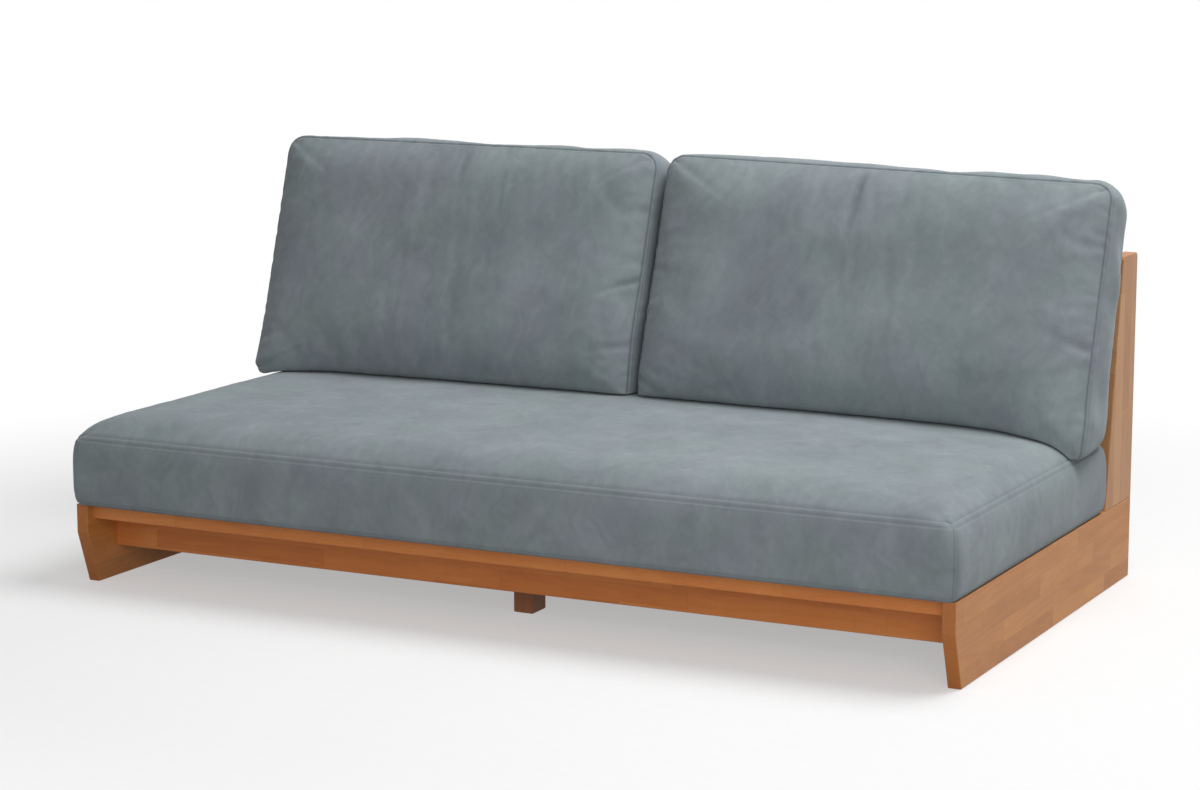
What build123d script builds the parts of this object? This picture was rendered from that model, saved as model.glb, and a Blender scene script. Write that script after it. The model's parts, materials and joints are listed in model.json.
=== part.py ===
"""Low three-seat sofa: a solid-wood frame with one boxed seat cushion and two boxed back cushions.

Millimetres. +X is the sitter's left, seen from the front as the right-hand end, the front looks along -Y
and +Z is up. The origin is on the floor, under the middle of the whole sofa.
"""

import os
from math import atan2, cos, hypot, pi, radians, sin

from build123d import *

os.makedirs("parts", exist_ok=True)

# Overall sizes
overall_width = 1800.0
overall_depth = 1000.0

# Side panels: planks on edge, with the front foot raked back below a knee
panel_thickness = 25.0
panel_height = 158.0
panel_depth = 985.0
foot_rake = 35.0
knee_height = 102.0
edge_round = 2.0

# Back posts: tapered boards standing on the panels' rear ends
post_top_z = 640.0
post_foot_depth = 162.0
post_head_depth = 88.0
post_corner = 10.0

# Seat frame between the panels
nosing_thickness = 30.0
nosing_setback = 20.0
nosing_depth = 120.0
rail_setback = 96.0
rail_thickness = 25.0
rail_bottom_z = 60.0
cleat_width = 30.0
cleat_height = 30.0
deck_slat_thickness = 18.0
deck_slat_width = 70.0
deck_slat_count = 7
stretcher_thickness = 30.0
stretcher_height = 60.0

# Middle legs, notched onto the stretcher's side
leg_width = 40.0
leg_depth = 50.0
leg_tongue = 20.0
leg_inset = 56.0
leg_top_gap = 4.0

# Corner blocks behind the rails
block_size = 40.0
block_gap = 2.0

# Slatted back between the posts
back_rail_thickness = 28.0
back_rail_height = 60.0
back_rail_rise = 70.0
back_rail_drop = 10.0
back_slat_width = 70.0
back_slat_thickness = 18.0
back_slat_count = 9
tenon_length = 12.0
tenon_width = 44.0
tenon_thickness = 9.0
tenon_clearance = 0.2

# Dowels and screws
dowel_diameter = 10.0
dowel_length = 32.0
post_dowel_length = 60.0
dowel_edge = 17.0
post_dowel_edge = 28.0
hole_clearance = 0.1
hole_end_gap = 1.0
screw_diameter = 4.0
screw_head_diameter = 8.0
screw_head_height = 3.0
screw_grip = 15.0
screw_socket = 3.0
screw_socket_depth = 1.8

# Seat cushion, measured at its seams
seat_overhang = 8.0
seat_depth = 815.0
seat_boxing = 128.0
seat_crown = 50.0
seat_crown_reach = 300.0
seat_bulge = 7.0
seat_corner = 18.0
rest_gap = 0.3

# Back cushions, measured at their seams
back_side_overhang = 8.0
back_seam_gap = 20.0
back_split_x = -16.0
back_bulge = 9.0
back_corner = 38.0
back_foot_z = 279.0
back_height = 528.0
back_rear_tilt = 13.5
back_foot_gusset = 160.0
back_foot_rise = 17.0
back_head_gusset = 121.0
back_head_rise = 8.0
back_front_crown = 36.0
back_rear_crown = 30.0
back_crown_reach = 164.0
lean_gap = 0.5

# Covers, fillings and zips
cover_wall = 2.5
fill_gap = 0.4
crown_steps = 8
boxing_steps = 6
crown_corner_growth = 0.25
corner_limit = 0.45
zip_length = 700.0
zip_width = 14.0
zip_thickness = 1.2
zip_clearance = 0.1
slider_width = 8.0
slider_length = 12.0
slider_thickness = 3.0
slider_gap = 0.2
pull_width = 4.0
pull_length = 24.0
pull_thickness = 1.2

# Places worked out from the sizes above
back_y = overall_depth / 2
panel_front_y = back_y - panel_depth
inner_x = overall_width / 2 - panel_thickness
panel_mid_x = inner_x + panel_thickness / 2
back_foot_y = back_y - post_foot_depth
back_head_y = back_y - post_head_depth
rake = atan2(back_head_y - back_foot_y, post_top_z - panel_height)
rake_length = hypot(back_head_y - back_foot_y, post_top_z - panel_height)
back_plane = Plane(
    origin=(0, back_foot_y, panel_height),
    x_dir=(1, 0, 0),
    z_dir=(0, -cos(rake), sin(rake)),
)
nosing_front_y = panel_front_y + nosing_setback
nosing_rear_y = nosing_front_y + nosing_depth
nosing_bottom_z = panel_height - nosing_thickness
front_rail_y = panel_front_y + rail_setback
front_rail_rear_y = front_rail_y + rail_thickness
rear_rail_y = back_foot_y
deck_bottom_z = panel_height - deck_slat_thickness
cleat_bottom_z = deck_bottom_z - cleat_height
stretcher_bottom_z = deck_bottom_z - stretcher_height
deck_span = rear_rail_y - nosing_rear_y
deck_gap = (deck_span - deck_slat_count * deck_slat_width) / (deck_slat_count + 1)
deck_pitch = deck_slat_width + deck_gap
deck_ys = [nosing_rear_y + deck_pitch * (i + 1) - deck_slat_width / 2 for i in range(deck_slat_count)]
cleat_ys = [(deck_ys[i] + deck_ys[i + 1]) / 2 for i in (0, deck_slat_count // 2, deck_slat_count - 2)]
slat_foot = back_rail_rise + back_rail_height
slat_head = rake_length - back_rail_drop - back_rail_height
back_gap = (2 * inner_x - back_slat_count * back_slat_width) / (back_slat_count + 1)
back_xs = [
    -inner_x + (back_gap + back_slat_width) * (i + 1) - back_slat_width / 2 for i in range(back_slat_count)
]
front_leg_y = front_rail_rear_y + leg_inset + leg_depth / 2
rear_leg_y = rear_rail_y - leg_inset - leg_depth / 2
leg_outer_x = -stretcher_thickness / 2 - leg_tongue
block_bottom_z = rail_bottom_z + block_gap
block_top_z = cleat_bottom_z - block_gap
sides = ((-1, "left"), (1, "right"))


def save(piece, name):
    """Label a finished piece and write it to its own file."""
    piece.label = name
    export_step(piece, f"parts/{name}.step")


def seats(points, direction):
    """Planes at the points, each with its axis along the direction."""
    return [Plane(origin=point, z_dir=direction) for point in points]


def dowel_hole(length):
    """A bore for a dowel, centred on its seat."""
    Cylinder(dowel_diameter / 2 + hole_clearance, length + 2 * hole_end_gap, mode=Mode.SUBTRACT)


def screw_hole(length):
    """A counterbore above the seat and a pilot below it."""
    below = (Align.CENTER, Align.CENTER, Align.MAX)
    above = (Align.CENTER, Align.CENTER, Align.MIN)
    Cylinder(screw_diameter / 2 + hole_clearance, length + hole_end_gap, align=below, mode=Mode.SUBTRACT)
    Cylinder(screw_head_diameter / 2 + hole_clearance, 2 * screw_head_height, align=above, mode=Mode.SUBTRACT)


def dowels(places, length, name):
    """A group of round dowels, each centred on its seat."""
    with BuildPart() as group:
        with Locations(*places):
            Cylinder(dowel_diameter / 2, length)
    save(group.part, name)


def screws(places, length, name):
    """A group of socket screws, whose heads stand on their seats and whose shanks run below them."""
    with BuildPart() as group:
        with Locations(*places):
            Cylinder(screw_diameter / 2, length, align=(Align.CENTER, Align.CENTER, Align.MAX))
            Cylinder(
                screw_head_diameter / 2,
                screw_head_height,
                align=(Align.CENTER, Align.CENTER, Align.MIN),
            )
        with Locations(*[place.offset(screw_head_height - screw_socket_depth) for place in places]):
            Cylinder(
                screw_socket / 2,
                screw_head_height,
                align=(Align.CENTER, Align.CENTER, Align.MIN),
                mode=Mode.SUBTRACT,
            )
    save(group.part, name)


# Where dowels cross the joints
front_rail_mid_y = front_rail_y + rail_thickness / 2
rear_rail_mid_y = rear_rail_y + rail_thickness / 2
rail_dowel_points = [
    (front_rail_mid_y, rail_bottom_z + dowel_edge),
    (front_rail_mid_y, nosing_bottom_z - dowel_edge),
    (rear_rail_mid_y, rail_bottom_z + dowel_edge),
    (rear_rail_mid_y, panel_height - dowel_edge),
    (nosing_front_y + dowel_edge, nosing_bottom_z + nosing_thickness / 2),
    (nosing_rear_y - dowel_edge, nosing_bottom_z + nosing_thickness / 2),
]
rail_dowels = seats([(side * inner_x, y, z) for side, _ in sides for y, z in rail_dowel_points], (1, 0, 0))
post_dowel_ys = (
    back_foot_y + post_dowel_edge,
    back_foot_y + post_foot_depth / 2,
    back_y - post_dowel_edge,
)
post_dowels = seats([(side * panel_mid_x, y, panel_height) for side, _ in sides for y in post_dowel_ys], (0, 0, 1))
back_dowel_rises = (
    back_rail_rise + dowel_edge,
    slat_foot - dowel_edge,
    slat_head + dowel_edge,
    slat_head + back_rail_height - dowel_edge,
)
back_dowels = seats(
    [
        back_plane.from_local_coords((side * inner_x, rise, -back_rail_thickness / 2))
        for side, _ in sides
        for rise in back_dowel_rises
    ],
    (1, 0, 0),
)
stretcher_front_top_z = min(deck_bottom_z, nosing_bottom_z)
stretcher_dowel_zs = (stretcher_bottom_z + dowel_edge * 0.7, stretcher_front_top_z - dowel_edge * 0.7)
stretcher_dowels = seats(
    [(0, y, z) for y in (front_rail_rear_y, rear_rail_y) for z in stretcher_dowel_zs], (0, 1, 0)
)

# Where screws seat
deck_screw_length = deck_slat_thickness - screw_head_height + screw_grip
deck_screw_xs = (-inner_x + cleat_width / 2, 0, inner_x - cleat_width / 2)
deck_screws = seats([(x, y, panel_height - screw_head_height) for x in deck_screw_xs for y in deck_ys], (0, 0, 1))
cleat_screw_length = cleat_width - screw_head_height + screw_grip
cleat_screw_z = cleat_bottom_z + cleat_height / 2
leg_screw_length = stretcher_thickness - screw_head_height + screw_grip
leg_screw_zs = (stretcher_bottom_z + leg_tongue * 0.6, stretcher_bottom_z + leg_tongue * 1.3)
leg_screws = seats(
    [(stretcher_thickness / 2 - screw_head_height, y, z) for y in (front_leg_y, rear_leg_y) for z in leg_screw_zs],
    (1, 0, 0),
)
block_screw_length = block_size - screw_head_height + screw_grip
block_low_z = block_bottom_z + (block_top_z - block_bottom_z) * 0.3
block_high_z = block_bottom_z + (block_top_z - block_bottom_z) * 0.7
block_seat_x = inner_x - block_size + screw_head_height
block_front_y = front_rail_rear_y
block_rear_y = rear_rail_y - block_size
cleat_screws = []
block_screws = []
for side, _ in sides:
    cleat_seat_x = side * (inner_x - cleat_width + screw_head_height)
    cleat_screws += seats([(cleat_seat_x, y, cleat_screw_z) for y in cleat_ys], (-side, 0, 0))
    block_screws += seats(
        [(side * block_seat_x, y + block_size / 2, block_low_z) for y in (block_front_y, block_rear_y)],
        (-side, 0, 0),
    )
    block_mid_x = side * (inner_x - block_size / 2)
    front_seat_y = block_front_y + block_size - screw_head_height
    rear_seat_y = block_rear_y + screw_head_height
    block_screws += seats([(block_mid_x, front_seat_y, block_high_z)], (0, 1, 0))
    block_screws += seats([(block_mid_x, rear_seat_y, block_high_z)], (0, -1, 0))

# Side panels and the posts that stand on them
for side, hand in sides:
    with BuildPart() as side_panel:
        with BuildSketch(Plane.YZ.offset(side * inner_x)):
            with BuildLine():
                Polyline(
                    (panel_front_y + foot_rake, 0),
                    (back_y, 0),
                    (back_y, panel_height),
                    (panel_front_y, panel_height),
                    (panel_front_y, knee_height),
                    close=True,
                )
            make_face()
        extrude(amount=side * panel_thickness)
        fillet(side_panel.faces().filter_by(Axis.X).edges(), edge_round)
        with Locations(*rail_dowels):
            dowel_hole(dowel_length)
        with Locations(*post_dowels):
            dowel_hole(post_dowel_length)
        with Locations(*cleat_screws):
            screw_hole(cleat_screw_length)
        with Locations(*block_screws):
            screw_hole(block_screw_length)
    save(side_panel.part, f"{hand}_side_panel")

    with BuildPart() as back_post:
        with BuildSketch(Plane.YZ.offset(side * inner_x)) as post_outline:
            with BuildLine():
                Polyline(
                    (back_foot_y, panel_height),
                    (back_y, panel_height),
                    (back_y, post_top_z),
                    (back_head_y, post_top_z),
                    close=True,
                )
            make_face()
            fillet(post_outline.vertices().group_by(Axis.Y)[-1], post_corner)
        extrude(amount=side * panel_thickness)
        fillet(back_post.faces().filter_by(Axis.X).edges(), edge_round)
        with Locations(*post_dowels):
            dowel_hole(post_dowel_length)
        with Locations(*back_dowels):
            dowel_hole(dowel_length)
    save(back_post.part, f"{hand}_back_post")

# Long rails between the panels
for name, y, top_z in (
    ("front_rail", front_rail_mid_y, nosing_bottom_z),
    ("rear_rail", rear_rail_mid_y, panel_height),
):
    with BuildPart() as rail:
        with BuildSketch(Plane.XY.offset(rail_bottom_z)):
            with Locations((0, y)):
                Rectangle(2 * inner_x, rail_thickness)
        extrude(amount=top_z - rail_bottom_z)
        fillet(rail.edges().filter_by(Axis.X).group_by(Axis.Z)[0], edge_round)
        with Locations(*rail_dowels, *stretcher_dowels):
            dowel_hole(dowel_length)
        with Locations(*block_screws):
            screw_hole(block_screw_length)
    save(rail.part, name)

with BuildPart() as seat_nosing:
    with BuildSketch(Plane.XY.offset(nosing_bottom_z)):
        with Locations((0, nosing_front_y + nosing_depth / 2)):
            Rectangle(2 * inner_x, nosing_depth)
    extrude(amount=nosing_thickness)
    fillet(seat_nosing.edges().filter_by(Axis.X).group_by(Axis.Y)[0], edge_round)
    with Locations(*rail_dowels):
        dowel_hole(dowel_length)
save(seat_nosing.part, "seat_nosing")

# Deck carriers: a cleat on each panel and a stretcher in the middle
for side, hand in sides:
    with BuildPart() as cleat:
        with BuildSketch(Plane.XY.offset(cleat_bottom_z)):
            with Locations((side * (inner_x - cleat_width / 2), nosing_rear_y + deck_span / 2)):
                Rectangle(cleat_width, deck_span)
        extrude(amount=cleat_height)
        with Locations(*cleat_screws):
            screw_hole(cleat_screw_length)
        with Locations(*deck_screws):
            screw_hole(deck_screw_length)
    save(cleat.part, f"{hand}_cleat")

with BuildPart() as center_stretcher:
    with BuildSketch(Plane.YZ.offset(-stretcher_thickness / 2)):
        with BuildLine():
            Polyline(
                (front_rail_rear_y, stretcher_bottom_z),
                (rear_rail_y, stretcher_bottom_z),
                (rear_rail_y, deck_bottom_z),
                (nosing_rear_y, deck_bottom_z),
                (nosing_rear_y, stretcher_front_top_z),
                (front_rail_rear_y, stretcher_front_top_z),
                close=True,
            )
        make_face()
    extrude(amount=stretcher_thickness)
    with Locations(*stretcher_dowels):
        dowel_hole(dowel_length)
    with Locations(*deck_screws):
        screw_hole(deck_screw_length)
    with Locations(*leg_screws):
        screw_hole(leg_screw_length)
save(center_stretcher.part, "center_stretcher")

for name, y in (("front_center_leg", front_leg_y), ("rear_center_leg", rear_leg_y)):
    with BuildPart() as leg:
        with BuildSketch(Plane.XZ.offset(-y - leg_depth / 2)):
            with BuildLine():
                Polyline(
                    (leg_outer_x, 0),
                    (leg_outer_x + leg_width, 0),
                    (leg_outer_x + leg_width, stretcher_bottom_z),
                    (-stretcher_thickness / 2, stretcher_bottom_z),
                    (-stretcher_thickness / 2, deck_bottom_z - leg_top_gap),
                    (leg_outer_x, deck_bottom_z - leg_top_gap),
                    close=True,
                )
            make_face()
        extrude(amount=leg_depth)
        chamfer(leg.faces().sort_by(Axis.Z)[0].edges(), edge_round)
        with Locations(*leg_screws):
            screw_hole(leg_screw_length)
    save(leg.part, name)

# Blocks that brace the rails to the panels
for side, hand in sides:
    for end, y in (("front", block_front_y), ("rear", block_rear_y)):
        with BuildPart() as block:
            with BuildSketch(Plane.XY.offset(block_bottom_z)):
                with Locations((side * (inner_x - block_size / 2), y + block_size / 2)):
                    Rectangle(block_size, block_size)
            extrude(amount=block_top_z - block_bottom_z)
            with Locations(*block_screws):
                screw_hole(block_screw_length)
        save(block.part, f"{end}_{hand}_block")

# Deck slats, laid from panel to panel
for i, y in enumerate(deck_ys, start=1):
    with BuildPart() as deck_slat:
        with BuildSketch(Plane.XY.offset(deck_bottom_z)):
            with Locations((0, y)):
                Rectangle(2 * inner_x, deck_slat_width)
        extrude(amount=deck_slat_thickness)
        fillet(deck_slat.edges().filter_by(Axis.X).group_by(Axis.Z)[-1], edge_round)
        with Locations(*deck_screws):
            screw_hole(deck_screw_length)
    save(deck_slat.part, f"deck_slat_{i}")

# Slatted back: two rails and the slats tenoned between them
for name, foot, tenon_foot in (
    ("back_bottom_rail", back_rail_rise, slat_foot - tenon_length),
    ("back_top_rail", slat_head, slat_head),
):
    with BuildPart() as back_rail:
        with BuildSketch(back_plane):
            with Locations((0, foot + back_rail_height / 2)):
                Rectangle(2 * inner_x, back_rail_height)
        extrude(amount=-back_rail_thickness)
        fillet(back_rail.edges().filter_by(Axis.X), edge_round)
        with BuildSketch(back_plane.offset(-(back_rail_thickness - tenon_thickness) / 2 + tenon_clearance)):
            with Locations(*[(x, tenon_foot + tenon_length / 2) for x in back_xs]):
                Rectangle(tenon_width + 2 * tenon_clearance, tenon_length + 2 * tenon_clearance)
        extrude(amount=-tenon_thickness - 2 * tenon_clearance, mode=Mode.SUBTRACT)
        with Locations(*back_dowels):
            dowel_hole(dowel_length)
    save(back_rail.part, name)

for i, x in enumerate(back_xs, start=1):
    with BuildPart() as back_slat:
        with BuildSketch(back_plane.offset(-(back_rail_thickness - back_slat_thickness) / 2)):
            with Locations((x, (slat_foot + slat_head) / 2)):
                Rectangle(back_slat_width, slat_head - slat_foot)
        extrude(amount=-back_slat_thickness)
        fillet(back_slat.edges().filter_by(Axis((0, 0, 0), back_plane.y_dir)), edge_round)
        with BuildSketch(back_plane.offset(-(back_rail_thickness - tenon_thickness) / 2)):
            with Locations((x, (slat_foot + slat_head) / 2)):
                Rectangle(tenon_width, slat_head - slat_foot + 2 * tenon_length)
        extrude(amount=-tenon_thickness)
    save(back_slat.part, f"back_slat_{i}")

# Fasteners, one group of separate solids for each kind
dowels(rail_dowels, dowel_length, "rail_dowels")
dowels(post_dowels, post_dowel_length, "post_dowels")
dowels(back_dowels, dowel_length, "back_dowels")
dowels(stretcher_dowels, dowel_length, "stretcher_dowels")
screws(deck_screws, deck_screw_length, "deck_screws")
screws(cleat_screws, cleat_screw_length, "cleat_screws")
screws(leg_screws, leg_screw_length, "leg_screws")
screws(block_screws, block_screw_length, "block_screws")

# Cushion forms: runs of rounded outlines, each outline a plane, a width, a height and a corner radius
seat_front_y = panel_front_y - seat_overhang
seat_mid_y = seat_front_y + seat_depth / 2
seat_rear_y = seat_front_y + seat_depth
seat_bottom_z = panel_height + rest_gap
seat_seam_z = panel_height + seat_boxing
back_outer_x = overall_width / 2 + back_side_overhang
back_widths = {side: back_outer_x - side * back_split_x - back_seam_gap / 2 for side, _ in sides}
back_mid_xs = {side: side * (back_outer_x - back_widths[side] / 2) for side, _ in sides}


def crown_run(plane, width, height, corner, rise, reach):
    """Outlines that draw in along a quarter ellipse, from a seam to the crown's flat middle."""
    run = []
    for step in range(crown_steps + 1):
        turn = radians(90 * step / crown_steps)
        draw_in = reach * (1 - cos(turn))
        step_width = width - 2 * draw_in
        step_height = height - 2 * draw_in
        step_corner = min(corner + draw_in * crown_corner_growth, min(step_width, step_height) * corner_limit)
        run.append((plane.offset(rise * sin(turn)), step_width, step_height, step_corner))
    return run


def seat_runs(inset):
    """The seat's boxing, swollen between its seams, and the crown above it."""
    width = overall_width - 2 * inset
    depth = seat_depth - 2 * inset
    corner = seat_corner - inset
    base_z = seat_bottom_z + inset
    seam = Plane((0, seat_mid_y, seat_seam_z))
    boxing = []
    for step in range(boxing_steps + 1):
        share = step / boxing_steps
        swell = seat_bulge * sin(pi * share)
        plane = Plane((0, seat_mid_y, base_z + (seat_seam_z - base_z) * share))
        boxing.append((plane, width + 2 * swell, depth + 2 * swell, corner + swell))
    return [boxing, crown_run(seam, width, depth, corner, seat_crown - inset, seat_crown_reach)]


def lean_y(tilt):
    """Where the rear seams' middle lies, so that the rear crown just meets the slatted back."""
    crown_rise = back_height / 2 - back_crown_reach
    middle_z = back_foot_z + back_height / 2 * cos(tilt)
    touch_z = middle_z + crown_rise * cos(tilt) - back_rear_crown * sin(tilt)
    touch_y = back_foot_y + ((touch_z - panel_height) * sin(rake) - lean_gap) / cos(rake)
    return touch_y - crown_rise * sin(tilt) - back_rear_crown * cos(tilt)


def between(start, end, share):
    """The point a share of the way from start to end, both as depth and height."""
    return (start[0] + (end[0] - start[0]) * share, start[1] + (end[1] - start[1]) * share)


def back_plane_between(side, foot, head):
    """The plane of a seam from its foot to its head, facing forwards, and the seam's height."""
    height = hypot(head[0] - foot[0], head[1] - foot[1])
    up_y = (head[0] - foot[0]) / height
    up_z = (head[1] - foot[1]) / height
    middle = (back_mid_xs[side], (foot[0] + head[0]) / 2, (foot[1] + head[1]) / 2)
    return Plane(origin=middle, x_dir=(1, 0, 0), z_dir=(0, -up_z, up_y)), height


def back_runs(side, inset):
    """A back cushion's gusset, swollen between its seams, and its front and rear crowns."""
    tilt = radians(back_rear_tilt)
    middle_y = lean_y(tilt)
    rear_foot = (middle_y - back_height / 2 * sin(tilt), back_foot_z)
    rear_head = (middle_y + back_height / 2 * sin(tilt), back_foot_z + back_height * cos(tilt))
    front_foot = (rear_foot[0] - back_foot_gusset, rear_foot[1] + back_foot_rise)
    front_head = (rear_head[0] - back_head_gusset, rear_head[1] + back_head_rise)
    width = back_widths[side] - 2 * inset
    corner = back_corner - inset
    gusset = []
    for step in range(boxing_steps + 1):
        share = step / boxing_steps
        swell = back_bulge * sin(pi * share)
        plane, height = back_plane_between(
            side, between(rear_foot, front_foot, share), between(rear_head, front_head, share)
        )
        gusset.append((plane, width + 2 * swell, height + 2 * swell - 2 * inset, corner + swell))
    rear, _, rear_height, _ = gusset[0]
    front, _, front_height, _ = gusset[-1]
    rearward = Plane(origin=rear.origin, x_dir=(1, 0, 0), z_dir=-rear.z_dir)
    front_crown = crown_run(front, width, front_height, corner, back_front_crown - inset, back_crown_reach)
    rear_crown = crown_run(rearward, width, rear_height, corner, back_rear_crown - inset, back_crown_reach)
    return [gusset, front_crown, rear_crown]


def skinned(runs):
    """One solid, skinned over each run of outlines in turn."""
    with BuildPart() as form:
        for run in runs:
            for plane, width, height, corner in run:
                with BuildSketch(plane):
                    RectangleRounded(width, height, corner)
            loft(ruled=True)
    return form.part


def seated_back(side, inset):
    """A back cushion's form, hollowed underneath to sit on the seat's crown."""
    with BuildPart() as form:
        add(skinned(back_runs(side, inset)))
        add(skinned(seat_runs(-inset - rest_gap)), mode=Mode.SUBTRACT)
    return form.part


def zip_pocket(plane):
    """A shallow recess for the zip, let into the cover under the plane."""
    with BuildPart() as pocket:
        with BuildSketch(plane):
            Rectangle(zip_length + 2 * zip_clearance, zip_width + 2 * zip_clearance)
        extrude(amount=zip_thickness, both=True)
    return pocket.part


def zip_and_slider(plane, hand):
    """The zip's tapes and teeth in their recess, and the slider that runs along them."""
    with BuildPart() as zip_strip:
        with BuildSketch(plane):
            Rectangle(zip_length, zip_width)
        extrude(amount=-zip_thickness)
    save(zip_strip.part, f"{hand}_zip")

    park_x = zip_length / 2 - slider_length
    with BuildPart() as slider:
        with BuildSketch(plane.offset(slider_gap)):
            with Locations((park_x, 0)):
                RectangleRounded(slider_length, slider_width, slider_width / 4)
        extrude(amount=slider_thickness)
        with BuildSketch(plane.offset(slider_gap + (slider_thickness - pull_thickness) / 2)):
            with Locations((park_x, -pull_length / 2)):
                RectangleRounded(pull_width, pull_length, pull_width / 3)
        extrude(amount=pull_thickness)
    save(slider.part, f"{hand}_zip_slider")


# Seat cushion, with its zip along the rear boxing
seat_zip_plane = Plane(
    origin=(0, seat_rear_y + seat_bulge, (seat_bottom_z + seat_seam_z) / 2),
    x_dir=(-1, 0, 0),
    z_dir=(0, 1, 0),
)
with BuildPart() as seat_cover:
    add(skinned(seat_runs(0)))
    add(skinned(seat_runs(cover_wall)), mode=Mode.SUBTRACT)
    add(zip_pocket(seat_zip_plane), mode=Mode.SUBTRACT)
save(seat_cover.part, "seat_cover")

with BuildPart() as seat_foam:
    add(skinned(seat_runs(cover_wall + fill_gap)))
save(seat_foam.part, "seat_foam")
zip_and_slider(seat_zip_plane, "seat")

# Back cushions, with their zips low on the rear panels
for side, hand in sides:
    rear_crown = back_runs(side, 0)[2]
    crown_plane, _, crown_height, _ = rear_crown[-1]
    zip_origin = crown_plane.from_local_coords((0, crown_height / 2 - zip_width - pull_length, 0))
    back_zip_plane = Plane(
        origin=zip_origin,
        x_dir=(-1, 0, 0),
        z_dir=crown_plane.z_dir,
    )
    with BuildPart() as back_cover:
        add(seated_back(side, 0))
        add(seated_back(side, cover_wall), mode=Mode.SUBTRACT)
        add(zip_pocket(back_zip_plane), mode=Mode.SUBTRACT)
    save(back_cover.part, f"{hand}_back_cover")

    with BuildPart() as back_filling:
        add(seated_back(side, cover_wall + fill_gap))
    save(back_filling.part, f"{hand}_back_filling")
    zip_and_slider(back_zip_plane, f"{hand}_back")
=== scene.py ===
"""A low sofa: an alder frame, one boxed seat cushion and two loose back cushions in grey-blue suede."""

import json
import math

import bpy
import numpy as np
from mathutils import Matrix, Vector
from mathutils.bvhtree import BVHTree


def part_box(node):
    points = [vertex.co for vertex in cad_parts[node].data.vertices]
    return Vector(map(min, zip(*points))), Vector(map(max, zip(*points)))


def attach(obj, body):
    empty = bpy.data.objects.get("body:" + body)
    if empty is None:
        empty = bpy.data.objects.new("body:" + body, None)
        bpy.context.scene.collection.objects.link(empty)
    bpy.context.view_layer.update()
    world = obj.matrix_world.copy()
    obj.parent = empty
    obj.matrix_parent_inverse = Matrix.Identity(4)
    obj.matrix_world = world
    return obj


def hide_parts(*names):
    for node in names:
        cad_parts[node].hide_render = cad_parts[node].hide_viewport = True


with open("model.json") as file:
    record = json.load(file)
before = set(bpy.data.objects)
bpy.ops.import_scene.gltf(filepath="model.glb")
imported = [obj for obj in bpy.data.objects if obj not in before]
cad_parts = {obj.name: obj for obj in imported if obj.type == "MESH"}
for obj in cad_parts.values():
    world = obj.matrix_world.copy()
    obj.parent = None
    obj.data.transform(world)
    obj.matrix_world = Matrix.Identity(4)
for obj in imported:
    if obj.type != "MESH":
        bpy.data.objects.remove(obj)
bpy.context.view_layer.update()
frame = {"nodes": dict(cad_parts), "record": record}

# Camera, fitted to the photograph's frame
CAMERA_PLACE = (2.5873, -5.1614, 1.3621)
CAMERA_PITCH_DEGREES = 9.785
CAMERA_TURN_DEGREES = 26.716
CAMERA_LENS_MM = 91.0
CAMERA_SENSOR_MM = 36.0
CAMERA_FAR = 200.0

# Studio: places and widths in metres, powers in watts
WHITE = (1.0, 1.0, 1.0, 1.0)
WORLD_LIGHT = 0.33
LAMP_TARGET = (0.0, 0.0, 0.4)
KEY_PLACE = (1.5, 0.6, 3.9)
KEY_WIDTH = 2.2
KEY_POWER = 134.0
FILL_PLACE = (2.2, -3.6, 1.3)
FILL_WIDTH = 2.6
FILL_POWER = 51.0
FLOOR_HALF_WIDTH = 60.0
FLOOR_DROP = 0.0004
FLOOR_GREYS = (0.86, 0.88)
FLOOR_BOUNCE_GREY = 0.46
FLOOR_WHITE_SHARE = 0.42
FLOOR_FADE = (1.2, 2.4)

# Wood: dark, middle and light tone of each kind, then marks as shares of its dark tone
HONEY = ((0.430, 0.160, 0.037), (0.550, 0.220, 0.055), (0.640, 0.288, 0.084))
# Nosing and rail: the panels' alder, painted brighter and redder to make up for the shade under the seat's
# overhang and to stand in for warm light bounced between wood faces
AMBER_AND_PAINTED_LIGHT = ((0.510, 0.152, 0.031), (0.615, 0.205, 0.047), (0.690, 0.268, 0.073))
PALE_HONEY = ((0.420, 0.194, 0.074), (0.520, 0.257, 0.110), (0.600, 0.320, 0.147))
# Legs: a darker brown stain, darkened further as painted shade for the deep shade under the frame
NUT_BROWN_AND_PAINTED_SHADE = ((0.240, 0.085, 0.031), (0.310, 0.116, 0.045), (0.375, 0.152, 0.063))
TONE_STOPS = (0.22, 0.50, 0.78)
FLECK_TONE = 0.55
FLECK_STRENGTH = 0.28
GLUE_TONE = 0.40
GLUE_STRENGTH = 0.28
GLUE_END_EDGES = (0.0002, 0.0009)
GLUE_SIDE_EDGES = (0.0001, 0.0006)
END_GRAIN_TONES = (0.84, 0.66, 0.50)
END_GRAIN_STRENGTH = 0.65

# Suede: tones of the nap from dark to light, in a cool and a greenish kind, and the tone of the shade painted
# into seams, along topstitching and into creases
NAP_STOPS = (0.31, 0.50, 0.69)
COOL_NAP = ((0.163, 0.186, 0.206), (0.224, 0.253, 0.276), (0.290, 0.324, 0.348))
GREEN_NAP = ((0.158, 0.192, 0.198), (0.221, 0.260, 0.268), (0.288, 0.333, 0.340))
PAINTED_SHADE_TONE = (0.062, 0.074, 0.082, 1.0)
PAINTED_SHADE_STRENGTH = 0.60

# Boxed cushions: how closely a crown fills its corners, and how square a bulging wall stands
CORNER_SHARPNESS = 24.0
WALL_SQUARENESS = 3.5

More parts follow.
